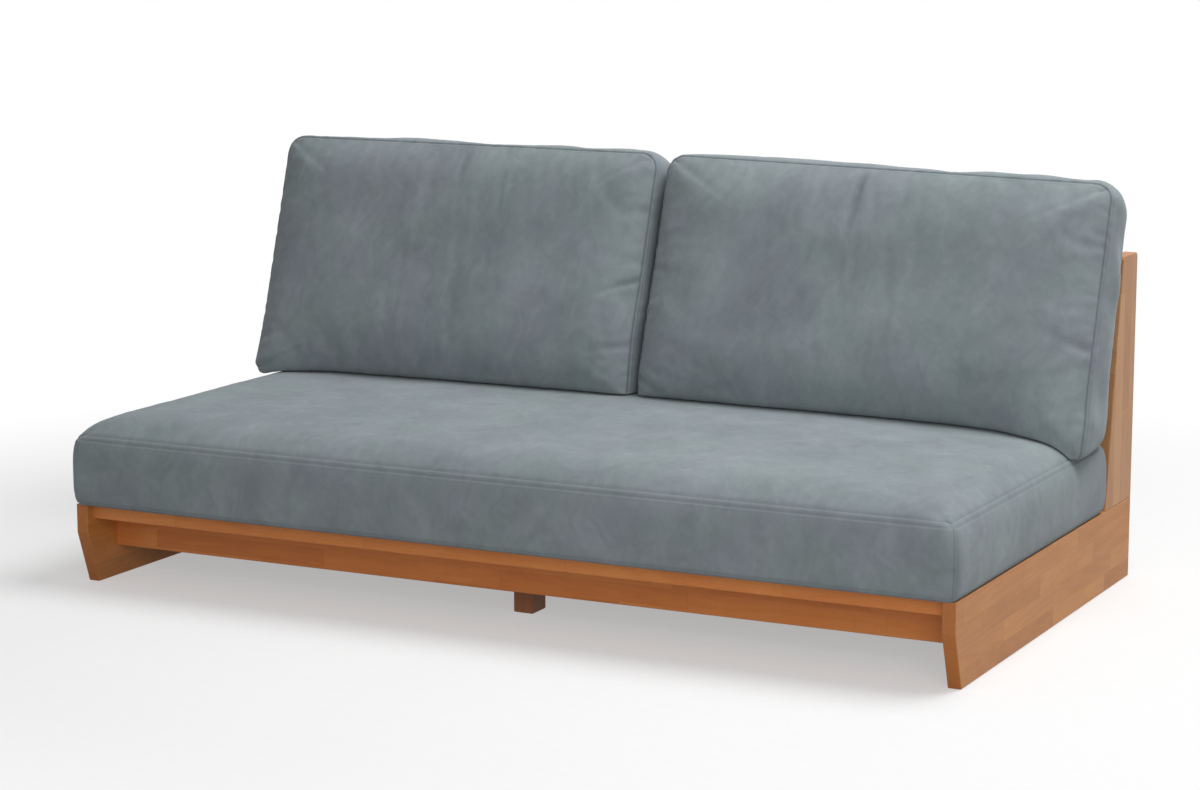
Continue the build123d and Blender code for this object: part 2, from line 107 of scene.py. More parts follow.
# Lengths of the cushions are in metres. A crown run is the crown's reach from the seam, its steepness,
# and the share of a broad dome. Corners are the radii at the lower and the upper seam, and their shares
# belong to the foot's two corners and to the head.
SEAT_HALF_WIDTH = 0.898
SEAT_FRONT_Y = -0.493
SEAT_REAR_Y = 0.322
SEAT_BOTTOM_Z = 0.1583
SEAT_SEAM_Z = 0.286
SEAT_CROWN = 0.056
SEAT_CROWN_RUN = (0.160, 5.0, 0.18)
SEAT_BULGE = 0.0085
SEAT_CORNERS = (0.018, 0.020)
SEAT_CORNER_SHARES = (1.0, 1.0, 0.45)
SEAT_TUCK = 0.004
SEAT_TUCK_RISE = 0.009
# The seat gives way under the right back cushion's outer end
SEAT_DENT = 0.010
SEAT_DENT_X = 0.82
SEAT_DENT_WIDTH = 0.11
SEAT_DENT_FRONT_Y = 0.02
SEAT_DENT_RUN = 0.14
# Point spacing of the simulated cloth and of the finished mesh
SEAT_CLOTH_SPACING = 0.015
SEAT_CLOTH_FIRMNESS = 15.0
SEAT_MESH_SPACING = 0.0085

# Back cushions: seams as (y, z) from the foot to the head, in metres
BACK_SIDES = {"left": (-0.895, -0.030), "right": (-0.004, 0.910)}
BACK_REAR_FOOT = (0.29519, 0.2790)
BACK_REAR_HEAD = (0.41845, 0.79241)
BACK_FRONT_FOOT = (0.13519, 0.2960)
BACK_FRONT_HEAD = (0.29745, 0.80041)
# Creases of the back cushions' front panels: edge, place along it, reach, width, depth, lean
BACK_CREASES = {
    "left": (
        ("head", 0.012, 0.065, 0.009, 0.0085, -0.08),
        ("head", -0.050, 0.090, 0.012, 0.0016, -0.05),
        ("head", 0.150, 0.060, 0.012, 0.0012, 0.20),
        ("high_x", 0.012, 0.065, 0.007, 0.0070, -0.45),
        ("high_x", -0.120, 0.060, 0.010, 0.0030, -0.30),
        ("high_x", 0.150, 0.050, 0.009, 0.0028, -0.10),
        ("low_x", -0.170, 0.060, 0.012, 0.0030, 0.30),
    ),
    "right": (
        ("head", -0.034, 0.115, 0.012, 0.0110, -0.06),
        ("head", -0.165, 0.100, 0.016, 0.0014, -0.02),
        ("head", 0.090, 0.080, 0.013, 0.0012, 0.15),
        ("low_x", -0.200, 0.070, 0.010, 0.0045, -0.60),
        ("low_x", 0.040, 0.060, 0.010, 0.0028, -0.20),
        ("high_x", -0.060, 0.075, 0.011, 0.0035, 0.25),
        ("high_x", 0.140, 0.045, 0.009, 0.0028, 0.10),
    ),
}
# The head rises by a height and a slope across, and its rear edge sags
BACK_HEAD_RISE = {"left": 0.008, "right": -0.003}
BACK_HEAD_SLOPE = {"left": -0.001, "right": -0.009}
BACK_HEAD_SAG = 0.011
BACK_FRONT_CROWN = 0.040
BACK_REAR_CROWN = 0.030
BACK_CROWN_RUN = (0.180, 5.0, 0.25)
BACK_BULGE = 0.009
BACK_CORNERS = (0.078, 0.034)
BACK_CORNER_SHARES = {"left": (0.90, 0.45, 1.0), "right": (0.45, 0.40, 1.0)}
# The foot is lifted onto the seat, bellies out above it, and rolls under except at the outer end
BACK_REST_GAP = 0.0012
BACK_FOOT_ROOM = 0.003
BACK_LIFT_FADE = 0.20
BACK_BELLY = 0.006
BACK_BELLY_RISE = 0.130
BACK_BELLY_REACH = 0.090
BACK_UNDER = 0.045
BACK_UNDER_RISE = 0.130
BACK_FOOT_FORWARD = 0.030
BACK_FOOT_ENDS = (-0.835, 0.882)
BACK_OUTER_START = 0.60
BACK_OUTER_RUN = 0.35
BACK_SAG = {"left": 0.0, "right": 0.004}
BACK_SAG_RISE = 0.040
# The two back cushions meet at mid depth, and their outer sides draw in towards the rear
BACK_MEET_DEPTH = 0.40
BACK_MEET_REACH = 0.22
BACK_SPLIT_X = -0.016
BACK_SPLIT_GAP = 0.0004
BACK_REAR_INSET = 0.008
# Settling on the seat: what lies low enough, how far it may sink, and how softly it stops
BACK_LOW_Z = 0.40
BACK_GROUND_INSET = 0.004
BACK_GROUND_REAR = 0.02
BACK_SETTLE_RISE = 0.040
BACK_SETTLE_MOST = 0.020
BACK_FREE_CORNER = 0.060
BACK_STOP_SOFTNESS = 0.003
BACK_CLOTH_SPACING = 0.012
BACK_CLOTH_FIRMNESS = 12.0
BACK_MESH_SPACING = 0.0062

# Sewing: distances from a seam of the closer grid lines, in metres
SEAM_LINES = (0.0, 0.0015, 0.0035, 0.0055, 0.0070, 0.0085, 0.0120, 0.0170)
TOPSTITCH_LINE = 4
# Painted shade: width of the dark line painted along seams and topstitching, and its share along topstitching
# and on the seat's seams
PAINTED_SEAM_SHADE_WIDTH = 0.0016
TOPSTITCH_PAINTED_SHADE = 0.40
SEAT_PAINTED_SEAM_SHADE = 0.45
# Painted shade in creases: its share, and the furrow depth at which it is full
CREASE_PAINTED_SHADE = 0.45
CREASE_PAINTED_SHADE_DEPTH = 0.003
CREASE_START = 0.030
PUCKER_SPACING = 0.035
PUCKER_WIDTH = 0.006
PANEL_PUCKER_REACH = 0.030
WALL_PUCKER_REACH = 0.026
PUCKER_SHARES = {"foot": 1.0, "head": 1.0, "low_x": 1.6, "high_x": 1.6}
STITCH_PITCH = 0.0046
STITCH_LENGTH = 0.0034
STITCH_RADIUS = 0.00042
STITCH_RISE = 0.0002
WAVE_COUNT = 40
WAVE_LENGTHS = (0.09, 0.34)
WAVE_FADE = 0.03
# Distance given to points that a row of puckers or an upright seam doesn't reach
OFF_PIECE = 9.0

# Zips, on the rear of each cover, in metres
ZIP_HALF_WIDTH = 0.010
ZIP_VALLEY = 0.026
ZIP_THICKNESS = 0.0012
ZIP_BED_GAP = 0.0002
TOOTH_PITCH = 0.0018
TOOTH_LENGTH = 0.0046
TOOTH_RADIUS = 0.00060
TOOTH_RISE = 0.00015
TOOTH_MARGIN = 0.004

# Cloth, as simulated
CLOTH_FRAMES = 20
CLOTH_SETTINGS = {
    "quality": 6,
    "mass": 0.012,
    "air_damping": 2.0,
    "bending_stiffness": 0.1,
    "tension_damping": 8.0,
    "compression_damping": 8.0,
    "use_pressure": True,
    "uniform_pressure_force": 4.0,
    "shrink_min": -0.035,
}
CLOTH_SHEAR_SHARE = 0.5
SLACK_CROWN = 0.60
SEAT_FOLD_SHARE = 0.08
BACK_FOLD_SHARE = 0.22
WALL_FOLD_SHARE = 0.35
FOLD_CAP = 0.0025
FOLD_PASSES = 14


class Wire:
    """A node's output. Arithmetic on it adds Math nodes to the tree it belongs to."""

    def __init__(self, work, node, key):
        self.work = work
        self.node = node
        self.key = key

    @property
    def socket(self):
        return self.node.outputs[self.key]

    def other(self, key):
        return Wire(self.work, self.node, key)

    def math(self, operation, first, second=0.0):
        return self.work.add("ShaderNodeMath", {"operation": operation}, {0: first, 1: second})

    def __add__(self, value):
        return self.math("ADD", self, value)

    def __radd__(self, value):
        return self.math("ADD", value, self)

    def __sub__(self, value):
        return self.math("SUBTRACT", self, value)

    def __rsub__(self, value):
        return self.math("SUBTRACT", value, self)

    def __mul__(self, value):
        return self.math("MULTIPLY", self, value)

    def __rmul__(self, value):
        return self.math("MULTIPLY", value, self)

    def __truediv__(self, value):
        return self.math("DIVIDE", self, value)

    def floor(self):
        return self.math("FLOOR", self)

    def fraction(self):
        return self.math("FRACT", self)

    def sine(self):
        return self.math("SINE", self)

    def root(self):
        return self.math("SQRT", self)

    def without_sign(self):
        return self.math("ABSOLUTE", self)

    def lowest(self, value):
        return self.math("MINIMUM", self, value)

    def highest(self, value):
        return self.math("MAXIMUM", self, value)


class NodeWork:
    """A node tree. One method adds any node, with its settings and the values or links of its sockets."""

    def __init__(self, tree):
        self.tree = tree
        tree.nodes.clear()

    def add(self, kind, settings=None, sockets=None, out=0):
        node = self.tree.nodes.new(kind)
        for key, value in (settings or {}).items():
            if key == "stops":
                fill_ramp(node.color_ramp, value)
            else:
                setattr(node, key, value)
        for key, value in (sockets or {}).items():
            self.feed(node.inputs[key], value)
        return Wire(self, node, out)

    def feed(self, socket, value):
        if isinstance(value, Wire):
            self.tree.links.new(value.socket, socket)
        else:
            socket.default_value = value


class Finish(NodeWork):
    """A material: a Principled surface and the nodes that feed it."""

    def __init__(self, name, constants=None):
        self.material = bpy.data.materials.new(name)
        self.material.use_nodes = True
        super().__init__(self.material.node_tree)
        self.surface = self.add("ShaderNodeBsdfPrincipled", {}, constants)
        self.output = self.add("ShaderNodeOutputMaterial", {}, {"Surface": self.surface})

    def place(self):
        return self.add("ShaderNodeTexCoord", out="Object")

    def axes(self):
        x = self.add("ShaderNodeSeparateXYZ", {}, {0: self.place()})
        return {"X": x, "Y": x.other("Y"), "Z": x.other("Z")}

    def vector(self, x, y, z):
        return self.add("ShaderNodeCombineXYZ", {}, {0: x, 1: y, 2: z})

    def noise(self, vector, scale=1.0, detail=4.0, roughness=0.55, distortion=0.0):
        sockets = {"Vector": vector, "Scale": scale, "Detail": detail}
        sockets.update({"Roughness": roughness, "Distortion": distortion})
        return self.add("ShaderNodeTexNoise", {}, sockets)

    def between(self, value, low, high):
        sockets = {"Value": value, "From Min": low, "From Max": high}
        return self.add("ShaderNodeMapRange", {"interpolation_type": "SMOOTHSTEP"}, sockets)

    def ramp(self, value, positions, colours):
        return self.add("ShaderNodeValToRGB", {"stops": tuple(zip(positions, colours))}, {0: value})

    def mix(self, share, first, second):
        return self.add("ShaderNodeMix", {"data_type": "RGBA"}, {0: share, 6: first, 7: second}, out=2)

    def colour(self, value):
        self.feed(self.surface.node.inputs["Base Color"], value)

    def roughness(self, value):
        self.feed(self.surface.node.inputs["Roughness"], value)

    def relief(self, height, strength, distance):
        sockets = {"Strength": strength, "Distance": distance, "Height": height}
        bump = self.add("ShaderNodeBump", {}, sockets)
        self.feed(self.surface.node.inputs["Normal"], bump)


def fill_ramp(color_ramp, stops):
    while len(color_ramp.elements) < len(stops):
        color_ramp.elements.new(1.0)
    for element, (position, colour) in zip(color_ramp.elements, stops):
        element.position = position
        element.color = (*colour, 1.0)


def suede_finish():
    """Grey-blue suede: cloudy nap, brushed smears and a fine fibre."""
    finish = Finish("grey_blue_suede", {
        "Sheen Weight": 0.25,
        "Sheen Roughness": 0.45,
        "Sheen Tint": (0.80, 0.86, 0.90, 1.0),
        "Specular IOR Level": 0.2,
    })
    axes = finish.axes()
    place = finish.place()
    drift = finish.noise(place, scale=7.0, detail=2.0)
    cloud = finish.noise(place, scale=8.0, detail=4.0, roughness=0.55, distortion=0.4)
    slant_x = axes["X"] * 15.0 + drift * 3.0
    slant_z = axes["Z"] * 8.0 + drift * 2.0
    slanted = finish.vector(slant_x, axes["Y"] * 12.0, slant_z)
    smear = finish.noise(slanted, scale=1.7, detail=5.0, roughness=0.6, distortion=0.9)
    patch = finish.noise(place, scale=24.0, detail=4.0, roughness=0.6, distortion=0.7)
    mottle = finish.noise(place, scale=70.0, detail=4.0, roughness=0.6)
    fibre = finish.noise(place, scale=1400.0, detail=2.0, roughness=0.6)
    tone = cloud * 0.36 + smear * 0.28 + patch * 0.14 + mottle * 0.12 + fibre * 0.10
    cool = finish.ramp(tone, NAP_STOPS, COOL_NAP)
    green = finish.ramp(tone, NAP_STOPS, GREEN_NAP)
    hue = finish.noise(place, scale=5.5, detail=3.0, roughness=0.5, distortion=0.8)
    napped = finish.mix(finish.between(hue, 0.36, 0.64), cool, green)
    # Painted shade: a point attribute of the mesh darkens the nap in seams, along topstitching and in creases
    seam = finish.add("ShaderNodeAttribute", {"attribute_name": "seam_shade"}, out="Fac")
    finish.colour(finish.mix(seam * PAINTED_SHADE_STRENGTH, napped, PAINTED_SHADE_TONE))
    finish.roughness(0.80 + 0.16 * mottle)
    finish.relief(fibre * 0.6 + mottle * 0.4, 0.22, 0.0012)
    return finish.material


def thread_finish():
    """Twisted sewing thread."""
    finish = Finish("grey_sewing_thread", {"Specular IOR Level": 0.3})
    twist = finish.noise(finish.place(), scale=900.0, detail=2.0)
    finish.colour(finish.ramp(twist, (0.3, 0.7), ((0.120, 0.138, 0.148), (0.200, 0.225, 0.238))))
    finish.roughness(0.55 + 0.25 * twist)
    finish.relief(twist, 0.4, 0.0003)
    return finish.material


def darker(tone, share):
    return (*(share * part for part in tone), 1.0)


def board_finish(name, along, across, tones, stave_width, stave_length, seed):
    """Oiled alder in edge-glued staves. Grain runs along one axis, and staves lie side by side across it."""
    finish = Finish(name, {"Specular IOR Level": 0.4})
    axes = finish.axes()
    run = axes[along]
    side = axes[across]
    depth = axes[next(axis for axis in "XYZ" if axis not in (along, across))]
    row_place = side / stave_width + 40.0 + seed * 0.37
    row = row_place.floor()
    slide = finish.add("ShaderNodeTexWhiteNoise", {"noise_dimensions": "1D"}, {"W": row + seed})
    cell_place = run / stave_length + slide * 7.0 + 60.0
    cell = cell_place.floor()
    stave_place = finish.vector(cell, row, seed)
    stave = finish.add("ShaderNodeTexWhiteNoise", {"noise_dimensions": "3D"}, {"Vector": stave_place})
    grain_shift = stave * 9.0
    fine = finish.vector(run * 5.0 + grain_shift, side * 210.0, depth * 210.0)
    streak = finish.noise(fine, detail=5.0, roughness=0.6, distortion=0.5)
    broad = finish.vector(run * 2.2 + grain_shift, side * 17.0, depth * 17.0)
    sweep = finish.noise(broad, detail=3.0, roughness=0.5, distortion=0.6)
    rings = (sweep * 46.0).sine() * 0.5 + 0.5
    fleck_place = finish.vector(run * 80.0, side * 1300.0, depth * 1300.0)
    fleck = finish.between(finish.noise(fleck_place, detail=1.0), 0.60, 0.74)
    blotch_place = finish.vector(run * 7.0 + grain_shift, side * 11.0, depth * 11.0)
    blotch = finish.noise(blotch_place, detail=3.0)
    tone = stave * 0.34 + streak * 0.24 + rings * 0.10 + blotch * 0.32
    plain = finish.ramp(tone, TONE_STOPS, tones)
    flecked = finish.mix(fleck * FLECK_STRENGTH, plain, darker(tones[0], FLECK_TONE))
    cell_part = cell_place.fraction()
    end_gap = cell_part.lowest(1.0 - cell_part) * stave_length
    end_line = 1.0 - finish.between(end_gap, *GLUE_END_EDGES)
    row_part = row_place.fraction()
    side_gap = row_part.lowest(1.0 - row_part) * stave_width
    side_line = 1.0 - finish.between(side_gap, *GLUE_SIDE_EDGES)
    line = end_line.highest(side_line * 0.5)
    lined = finish.mix(line * GLUE_STRENGTH, flecked, darker(tones[0], GLUE_TONE))
    facing = finish.add("ShaderNodeTexCoord", out="Normal")
    facing = finish.add("ShaderNodeSeparateXYZ", {}, {0: facing}, out=along)
    end_grain = finish.between(facing.without_sign(), 0.55, 0.90)
    end_tone = tuple(share * part for share, part in zip(END_GRAIN_TONES, tones[0]))
    finish.colour(finish.mix(end_grain * END_GRAIN_STRENGTH, lined, (*end_tone, 1.0)))
    finish.roughness(0.40 + 0.16 * streak + 0.10 * fleck)
    finish.relief(streak * 0.5 - fleck * 0.5 - line * 0.6, 0.12, 0.0006)
    return finish.material


def steel_finish(name, tint, roughness):
    """Brushed metal with smudges."""
    finish = Finish(name, {"Metallic": 1.0})
    place = finish.place()
    brushing = finish.noise(place, scale=800.0, detail=3.0)
    smudge = finish.noise(place, scale=60.0, detail=3.0)
    dull = tuple(0.75 * part for part in tint)
    finish.colour(finish.ramp(brushing * 0.5 + smudge * 0.5, (0.3, 0.7), (dull, tint)))
    finish.roughness(roughness + 0.2 * smudge)
    finish.relief(brushing, 0.1, 0.0002)
    return finish.material


def tape_finish():
    """Woven zip tape."""
    finish = Finish("grey_zip_tape", {"Specular IOR Level": 0.2})
    axes = finish.axes()
    ribs = (axes["X"] * 9000.0).sine() * 0.5 + 0.5
    warp = ((axes["Z"] + axes["Y"]) * 7000.0).sine() * 0.5 + 0.5
    fuzz = finish.noise(finish.place(), scale=500.0, detail=3.0)
    tone = ribs * 0.3 + warp * 0.3 + fuzz * 0.4
    finish.colour(finish.ramp(tone, (0.25, 0.75), ((0.070, 0.082, 0.090), (0.130, 0.150, 0.162))))
    finish.roughness(0.78 + 0.15 * fuzz)
    finish.relief(tone, 0.4, 0.0004)
    return finish.material


def filling_finish():
    """Cream foam and fibre, out of sight under the covers."""
    finish = Finish("cream_filling")
    cells = finish.noise(finish.place(), scale=420.0, detail=3.0)
    finish.colour(finish.ramp(cells, (0.3, 0.7), ((0.62, 0.55, 0.40), (0.78, 0.72, 0.58))))
    finish.roughness(0.85 + 0.1 * cells)
    finish.relief(cells, 0.4, 0.001)
    return finish.material


# Boards: the axis of the grain, the axis across the staves, tones, stave width and length in metres, seed
SLOT_FINISHES = {
    "panel_wood": board_finish("alder_side_panel", "Y", "Z", HONEY, 0.0395, 0.31, 3.0),
    "post_wood": board_finish("alder_back_post", "Z", "Y", PALE_HONEY, 0.042, 0.36, 5.0),
    "nosing_wood": board_finish("alder_nosing", "X", "Y", AMBER_AND_PAINTED_LIGHT, 0.040, 0.42, 8.0),
    "rail_wood": board_finish("alder_rail", "X", "Z", AMBER_AND_PAINTED_LIGHT, 0.034, 0.38, 11.0),
    "leg_wood": board_finish("brown_leg", "Z", "X", NUT_BROWN_AND_PAINTED_SHADE, 0.060, 0.50, 2.0),
    "back_wood": board_finish("alder_back_slat", "Z", "X", HONEY, 0.070, 0.60, 6.0),
    "deck_wood": board_finish("alder_deck_slat", "X", "Y", PALE_HONEY, 0.070, 0.55, 9.0),
    "dowel_wood": board_finish("beech_dowel", "X", "Y", PALE_HONEY, 0.020, 0.30, 4.0),
    "screw_steel": steel_finish("zinc_screw", (0.62, 0.60, 0.56), 0.28),
    "cover_fabric": suede_finish(),
    "cushion_filling": filling_finish(),
    "zip_tape": tape_finish(),
    "zip_metal": steel_finish("nickel_zip", (0.50, 0.49, 0.47), 0.25),
}
THREAD = thread_finish()


def dress_nodes():
    """Gives every CAD node the finish of its record slot."""
    slots = {row["node"]: row["material_slot"] for row in frame["record"]["subparts"]}
    for name, node in frame["nodes"].items():
        material = SLOT_FINISHES[slots[name]]
        node.data.materials.clear()
        node.data.materials.append(material)


def eased(share):
    """A share from 0 to 1 that starts and ends gently."""
    return share * share * (3 - 2 * share)


def bell(value, middle, reach):
    return np.exp(-((value - middle) / reach) ** 2)


# Boxed cushions are grids of u across, v from foot to head and s from the lower panel to the upper one
class Boxed:
    """The sewn form of a boxed cushion: a crowned panel inside each seam, and a wall between the seams."""

    def __init__(self, name, middle_x, half_width, lower, upper, crowns, crown_run, bulge, corners, shares):
        self.name = name
        self.middle_x = middle_x
        self.half_width = half_width
        self.ends = (np.array(lower, float), np.array(upper, float))
        self.crowns = crowns
        self.reach, self.steepness, self.dome = crown_run
        self.bulge = bulge
        self.corners = corners
        self.corner_shares = shares
        self.depth = np.linalg.norm(self.ends[1].mean(axis=0) - self.ends[0].mean(axis=0))
        self.half_height = 0.5 * np.linalg.norm(self.ends[1][1] - self.ends[1][0])

    def rounded(self, u, v, s, half_height):
        """Square grid points moved onto rings with round corners, and each point's outward direction."""
        ring = np.maximum(np.maximum(np.abs(u), np.abs(v)), 1e-6)
        low_foot, high_foot, head = self.corner_shares
        share = np.where(v >= 0, head, np.where(u < 0, low_foot, high_foot))
        radius = (self.corners[0] + (self.corners[1] - self.corners[0]) * s) * share * ring
        across = np.abs(u) * self.half_width
        up = np.abs(v) * half_height
        past_x = across - (ring * self.half_width - radius)
        past_y = up - (ring * half_height - radius)
        in_corner = (past_x > 0) & (past_y > 0)
        reach = np.maximum(np.hypot(past_x, past_y), 1e-9)
        shrink = np.where(in_corner, radius / reach, 1.0)
        x = np.where(in_corner, across - past_x + past_x * shrink, across)
        y = np.where(in_corner, up - past_y + past_y * shrink, up)
        on_side = np.abs(u) >= np.abs(v)
        out_x = np.where(in_corner, past_x / reach, on_side * 1.0)
        out_y = np.where(in_corner, past_y / reach, 1.0 - on_side)
        return x * np.sign(u), y * np.sign(v), out_x * np.sign(u), out_y * np.sign(v)

    def plane(self, s):
        """Middle, upward direction and half height of the seam plane at s."""
        foot = self.ends[0][0] * (1 - s)[:, None] + self.ends[1][0] * s[:, None]
        head = self.ends[0][1] * (1 - s)[:, None] + self.ends[1][1] * s[:, None]
        run = head - foot
        length = np.linalg.norm(run, axis=1)
        return 0.5 * (foot + head), run / length[:, None], 0.5 * length

    def lay(self, u, v, s, lift, spread):
        """Points of the form: lift goes along the panel's own normal, spread outwards in the seam plane."""
        middle, up, half_height = self.plane(s)
        x, y, out_x, out_y = self.rounded(u, v, s, half_height)
        across = x + out_x * spread
        along = y + out_y * spread
        points = np.empty((len(u), 3))
        points[:, 0] = self.middle_x + across
        points[:, 1] = middle[:, 0] + up[:, 0] * along - up[:, 1] * lift
        points[:, 2] = middle[:, 1] + up[:, 1] * along + up[:, 0] * lift
        return points

    def crown_share(self, u, v, half_height):
        """0 on the seam to 1 where the crown is full."""
        short_x = np.clip(1 - (1 - np.abs(u)) * self.half_width / self.reach, 0, 1)
        short_y = np.clip(1 - (1 - np.abs(v)) * half_height / self.reach, 0, 1)
        sharp_x = short_x ** CORNER_SHARPNESS
        sharp_y = short_y ** CORNER_SHARPNESS
        short = (sharp_x + sharp_y - sharp_x * sharp_y) ** (1 / CORNER_SHARPNESS)
        return (1 - self.dome) * (1 - short ** self.steepness) + self.dome * (1 - u ** 2) * (1 - v ** 2)


class Grid:
    """Grid lines of a boxed cushion, its vertices, faces and rows of seam vertices."""

    def __init__(self, us, vs, ss):
        self.us, self.vs, self.ss = us, vs, ss
        columns, rows, layers = len(us), len(vs), len(ss)
        self.upper = np.arange(columns * rows).reshape(columns, rows)
        self.lower = self.upper + columns * rows
        ring = [(i, 0) for i in range(columns - 1)]
        ring += [(columns - 1, j) for j in range(rows - 1)]
        ring += [(i, rows - 1) for i in range(columns - 1, 0, -1)]
        ring += [(0, j) for j in range(rows - 1, 0, -1)]
        ring_i = np.array([i for i, j in ring])
        ring_j = np.array([j for i, j in ring])
        around = len(ring)
        start = 2 * columns * rows
        self.wall = np.empty((layers, around), int)
        self.wall[0] = self.lower[ring_i, ring_j]
        self.wall[-1] = self.upper[ring_i, ring_j]
        for layer in range(1, layers - 1):
            self.wall[layer] = start + (layer - 1) * around + np.arange(around)
        grid_u, grid_v = np.meshgrid(us, vs, indexing="ij")
        wall_u = np.tile(us[ring_i], layers - 2)
        wall_v = np.tile(vs[ring_j], layers - 2)
        wall_s = np.repeat(ss[1:-1], around)
        panel = columns * rows
        self.u = np.concatenate([grid_u.ravel(), grid_u.ravel(), wall_u])
        self.v = np.concatenate([grid_v.ravel(), grid_v.ravel(), wall_v])
        self.s = np.concatenate([np.ones(panel), np.zeros(panel), wall_s])
        self.is_upper = np.arange(len(self.u)) < panel
        self.is_lower = (np.arange(len(self.u)) >= panel) & (np.arange(len(self.u)) < 2 * panel)
        self.is_wall = np.arange(len(self.u)) >= 2 * panel
        self.ring_place = ring_place(us[ring_i], vs[ring_j])

    def faces(self):
        sheets = []
        for panel, turned in ((self.upper, False), (self.lower, True)):
            corners = [panel[:-1, :-1], panel[1:, :-1], panel[1:, 1:], panel[:-1, 1:]]
            if turned:
                corners.reverse()
            sheets.append(np.stack([corner.ravel() for corner in corners], axis=1))
        after = np.roll(self.wall, -1, axis=1)
        corners = [self.wall[:-1], after[:-1], after[1:], self.wall[1:]]
        sheets.append(np.stack([corner.ravel() for corner in corners], axis=1))
        return np.concatenate(sheets)

    def inner_ring(self, panel, step):
        """Vertices of the ring that lies some grid lines in from a panel's seam, in order."""
        part = panel[step:len(self.us) - step, step:len(self.vs) - step]
        return np.concatenate([part[:-1, 0], part[-1, :-1], part[:0:-1, -1], part[0, :0:-1]])


def ring_place(u, v):
    """Place around the wall from 0 to 4, one for each side, from the foot's low-u corner."""
    side = np.where(v <= -1, 0, np.where(u >= 1, 1, np.where(v >= 1, 2, 3)))
    part = np.choose(side, [(u + 1) / 2, (v + 1) / 2, (1 - u) / 2, (1 - v) / 2])
    return side + part


def even_lines(half, spacing):
    count = max(2, round(2 * half / spacing))
    return np.linspace(-1, 1, count + 1)


def sewn_lines(half, spacing):
    """Grid lines from -1 to 1 that crowd beside the seams."""
    near = np.array(SEAM_LINES)
    inner = half - near[-1]
    count = max(2, round(2 * inner / spacing))
    middle = np.linspace(-inner, inner, count + 1)
    low = -half + near[:-1]
    return np.concatenate([low, middle, -low[::-1]]) / half


def sewn_grid(boxed, spacing):
    return Grid(
        sewn_lines(boxed.half_width, spacing),
        sewn_lines(boxed.half_height, spacing),
        (sewn_lines(boxed.depth / 2, spacing) + 1) / 2,
    )


def new_piece(name, points, faces, material, seam_shade=None):
    mesh = bpy.data.meshes.new(name)
    mesh.from_pydata(points.tolist(), [], faces.tolist())
    mesh.polygons.foreach_set("use_smooth", np.ones(len(faces), bool))
    mesh.materials.append(material)
    # The painted seam shade goes onto the mesh as a point attribute
    if seam_shade is not None:
        shade = mesh.attributes.new("seam_shade", "FLOAT", "POINT")
        shade.data.foreach_set("value", seam_shade.astype(np.float32))
    mesh.update()
    piece = bpy.data.objects.new(name, mesh)
    bpy.context.scene.collection.objects.link(piece)
    return piece


def plump(boxed, spacing, held, firmness, fold_share):
    """Runs Blender's Cloth with pressure on an even grid, and gives the folds that it leaves."""
    grid = Grid(
        even_lines(boxed.half_width, spacing),
        even_lines(boxed.half_height, spacing),
        (even_lines(boxed.depth / 2, spacing) + 1) / 2,
    )
    start = sewn_form(boxed, grid, SLACK_CROWN)
    piece = new_piece(boxed.name + "_cloth", start, grid.faces(), SLOT_FINISHES["cover_fabric"])
    pins = piece.vertex_groups.new(name="held")
    pins.add(np.nonzero(held(grid))[0].tolist(), 1.0, "REPLACE")
    pins.add(np.concatenate([grid.wall[0], grid.wall[-1]]).tolist(), 1.0, "REPLACE")
    cloth = piece.modifiers.new("cloth", "CLOTH")
    settings = cloth.settings
    for key, value in CLOTH_SETTINGS.items():
        setattr(settings, key, value)
    settings.tension_stiffness = firmness
    settings.compression_stiffness = firmness
    settings.shear_stiffness = CLOTH_SHEAR_SHARE * firmness
    settings.vertex_group_mass = "held"
    settings.effector_weights.gravity = 0.0
    cloth.collision_settings.use_collision = False
    cloth.point_cache.frame_start = 1
    cloth.point_cache.frame_end = CLOTH_FRAMES
    scene = bpy.context.scene
    for number in range(1, CLOTH_FRAMES + 1):
        scene.frame_set(number)
    graph = bpy.context.evaluated_depsgraph_get()
    settled = piece.evaluated_get(graph).to_mesh()
    places = np.empty(3 * len(settled.vertices))
    settled.vertices.foreach_get("co", places)
    movement = places.reshape(-1, 3) - start
    bpy.data.objects.remove(piece)
    scene.frame_set(1)
    folds = np.zeros_like(movement)
    folds[grid.upper] = movement[grid.upper] - smoothed(movement[grid.upper], False)
    wall = movement[grid.wall] - smoothed(movement[grid.wall], True)
    folds[grid.wall[1:-1]] = WALL_FOLD_SHARE * wall[1:-1]
    folds *= fold_share
    far = np.linalg.norm(folds, axis=1)
    folds *= (FOLD_CAP * np.tanh(far / FOLD_CAP) / np.maximum(far, 1e-9))[:, None]
    return grid, folds


def smoothed(table, wraps):
    """A table of movements with its folds filtered out, so that only the broad swelling is left."""
    result = table.copy()
    for _ in range(FOLD_PASSES):
        padded = np.concatenate([result[:1], result, result[-1:]], axis=0)
        result = 0.25 * padded[:-2] + 0.5 * padded[1:-1] + 0.25 * padded[2:]
        if wraps:
            padded = np.concatenate([result[:, -1:], result, result[:, :1]], axis=1)
        else:
            padded = np.concatenate([result[:, :1], result, result[:, -1:]], axis=1)
        result = 0.25 * padded[:, :-2] + 0.5 * padded[:, 1:-1] + 0.25 * padded[:, 2:]
    return result


def sewn_form(boxed, grid, fullness):
    """The cushion as sewn, with a share of its full upper crown."""
    share = boxed.crown_share(grid.u, grid.v, boxed.plane(grid.s)[2])
    lift = np.where(grid.is_upper, boxed.crowns[1] * fullness * share, 0.0)
    lift = np.where(grid.is_lower, -boxed.crowns[0] * share, lift)
    roundness = 1 - np.abs(2 * grid.s - 1) ** WALL_SQUARENESS
    spread = np.where(grid.is_wall, boxed.bulge * roundness, 0.0)
    return boxed.lay(grid.u, grid.v, grid.s, lift, spread)


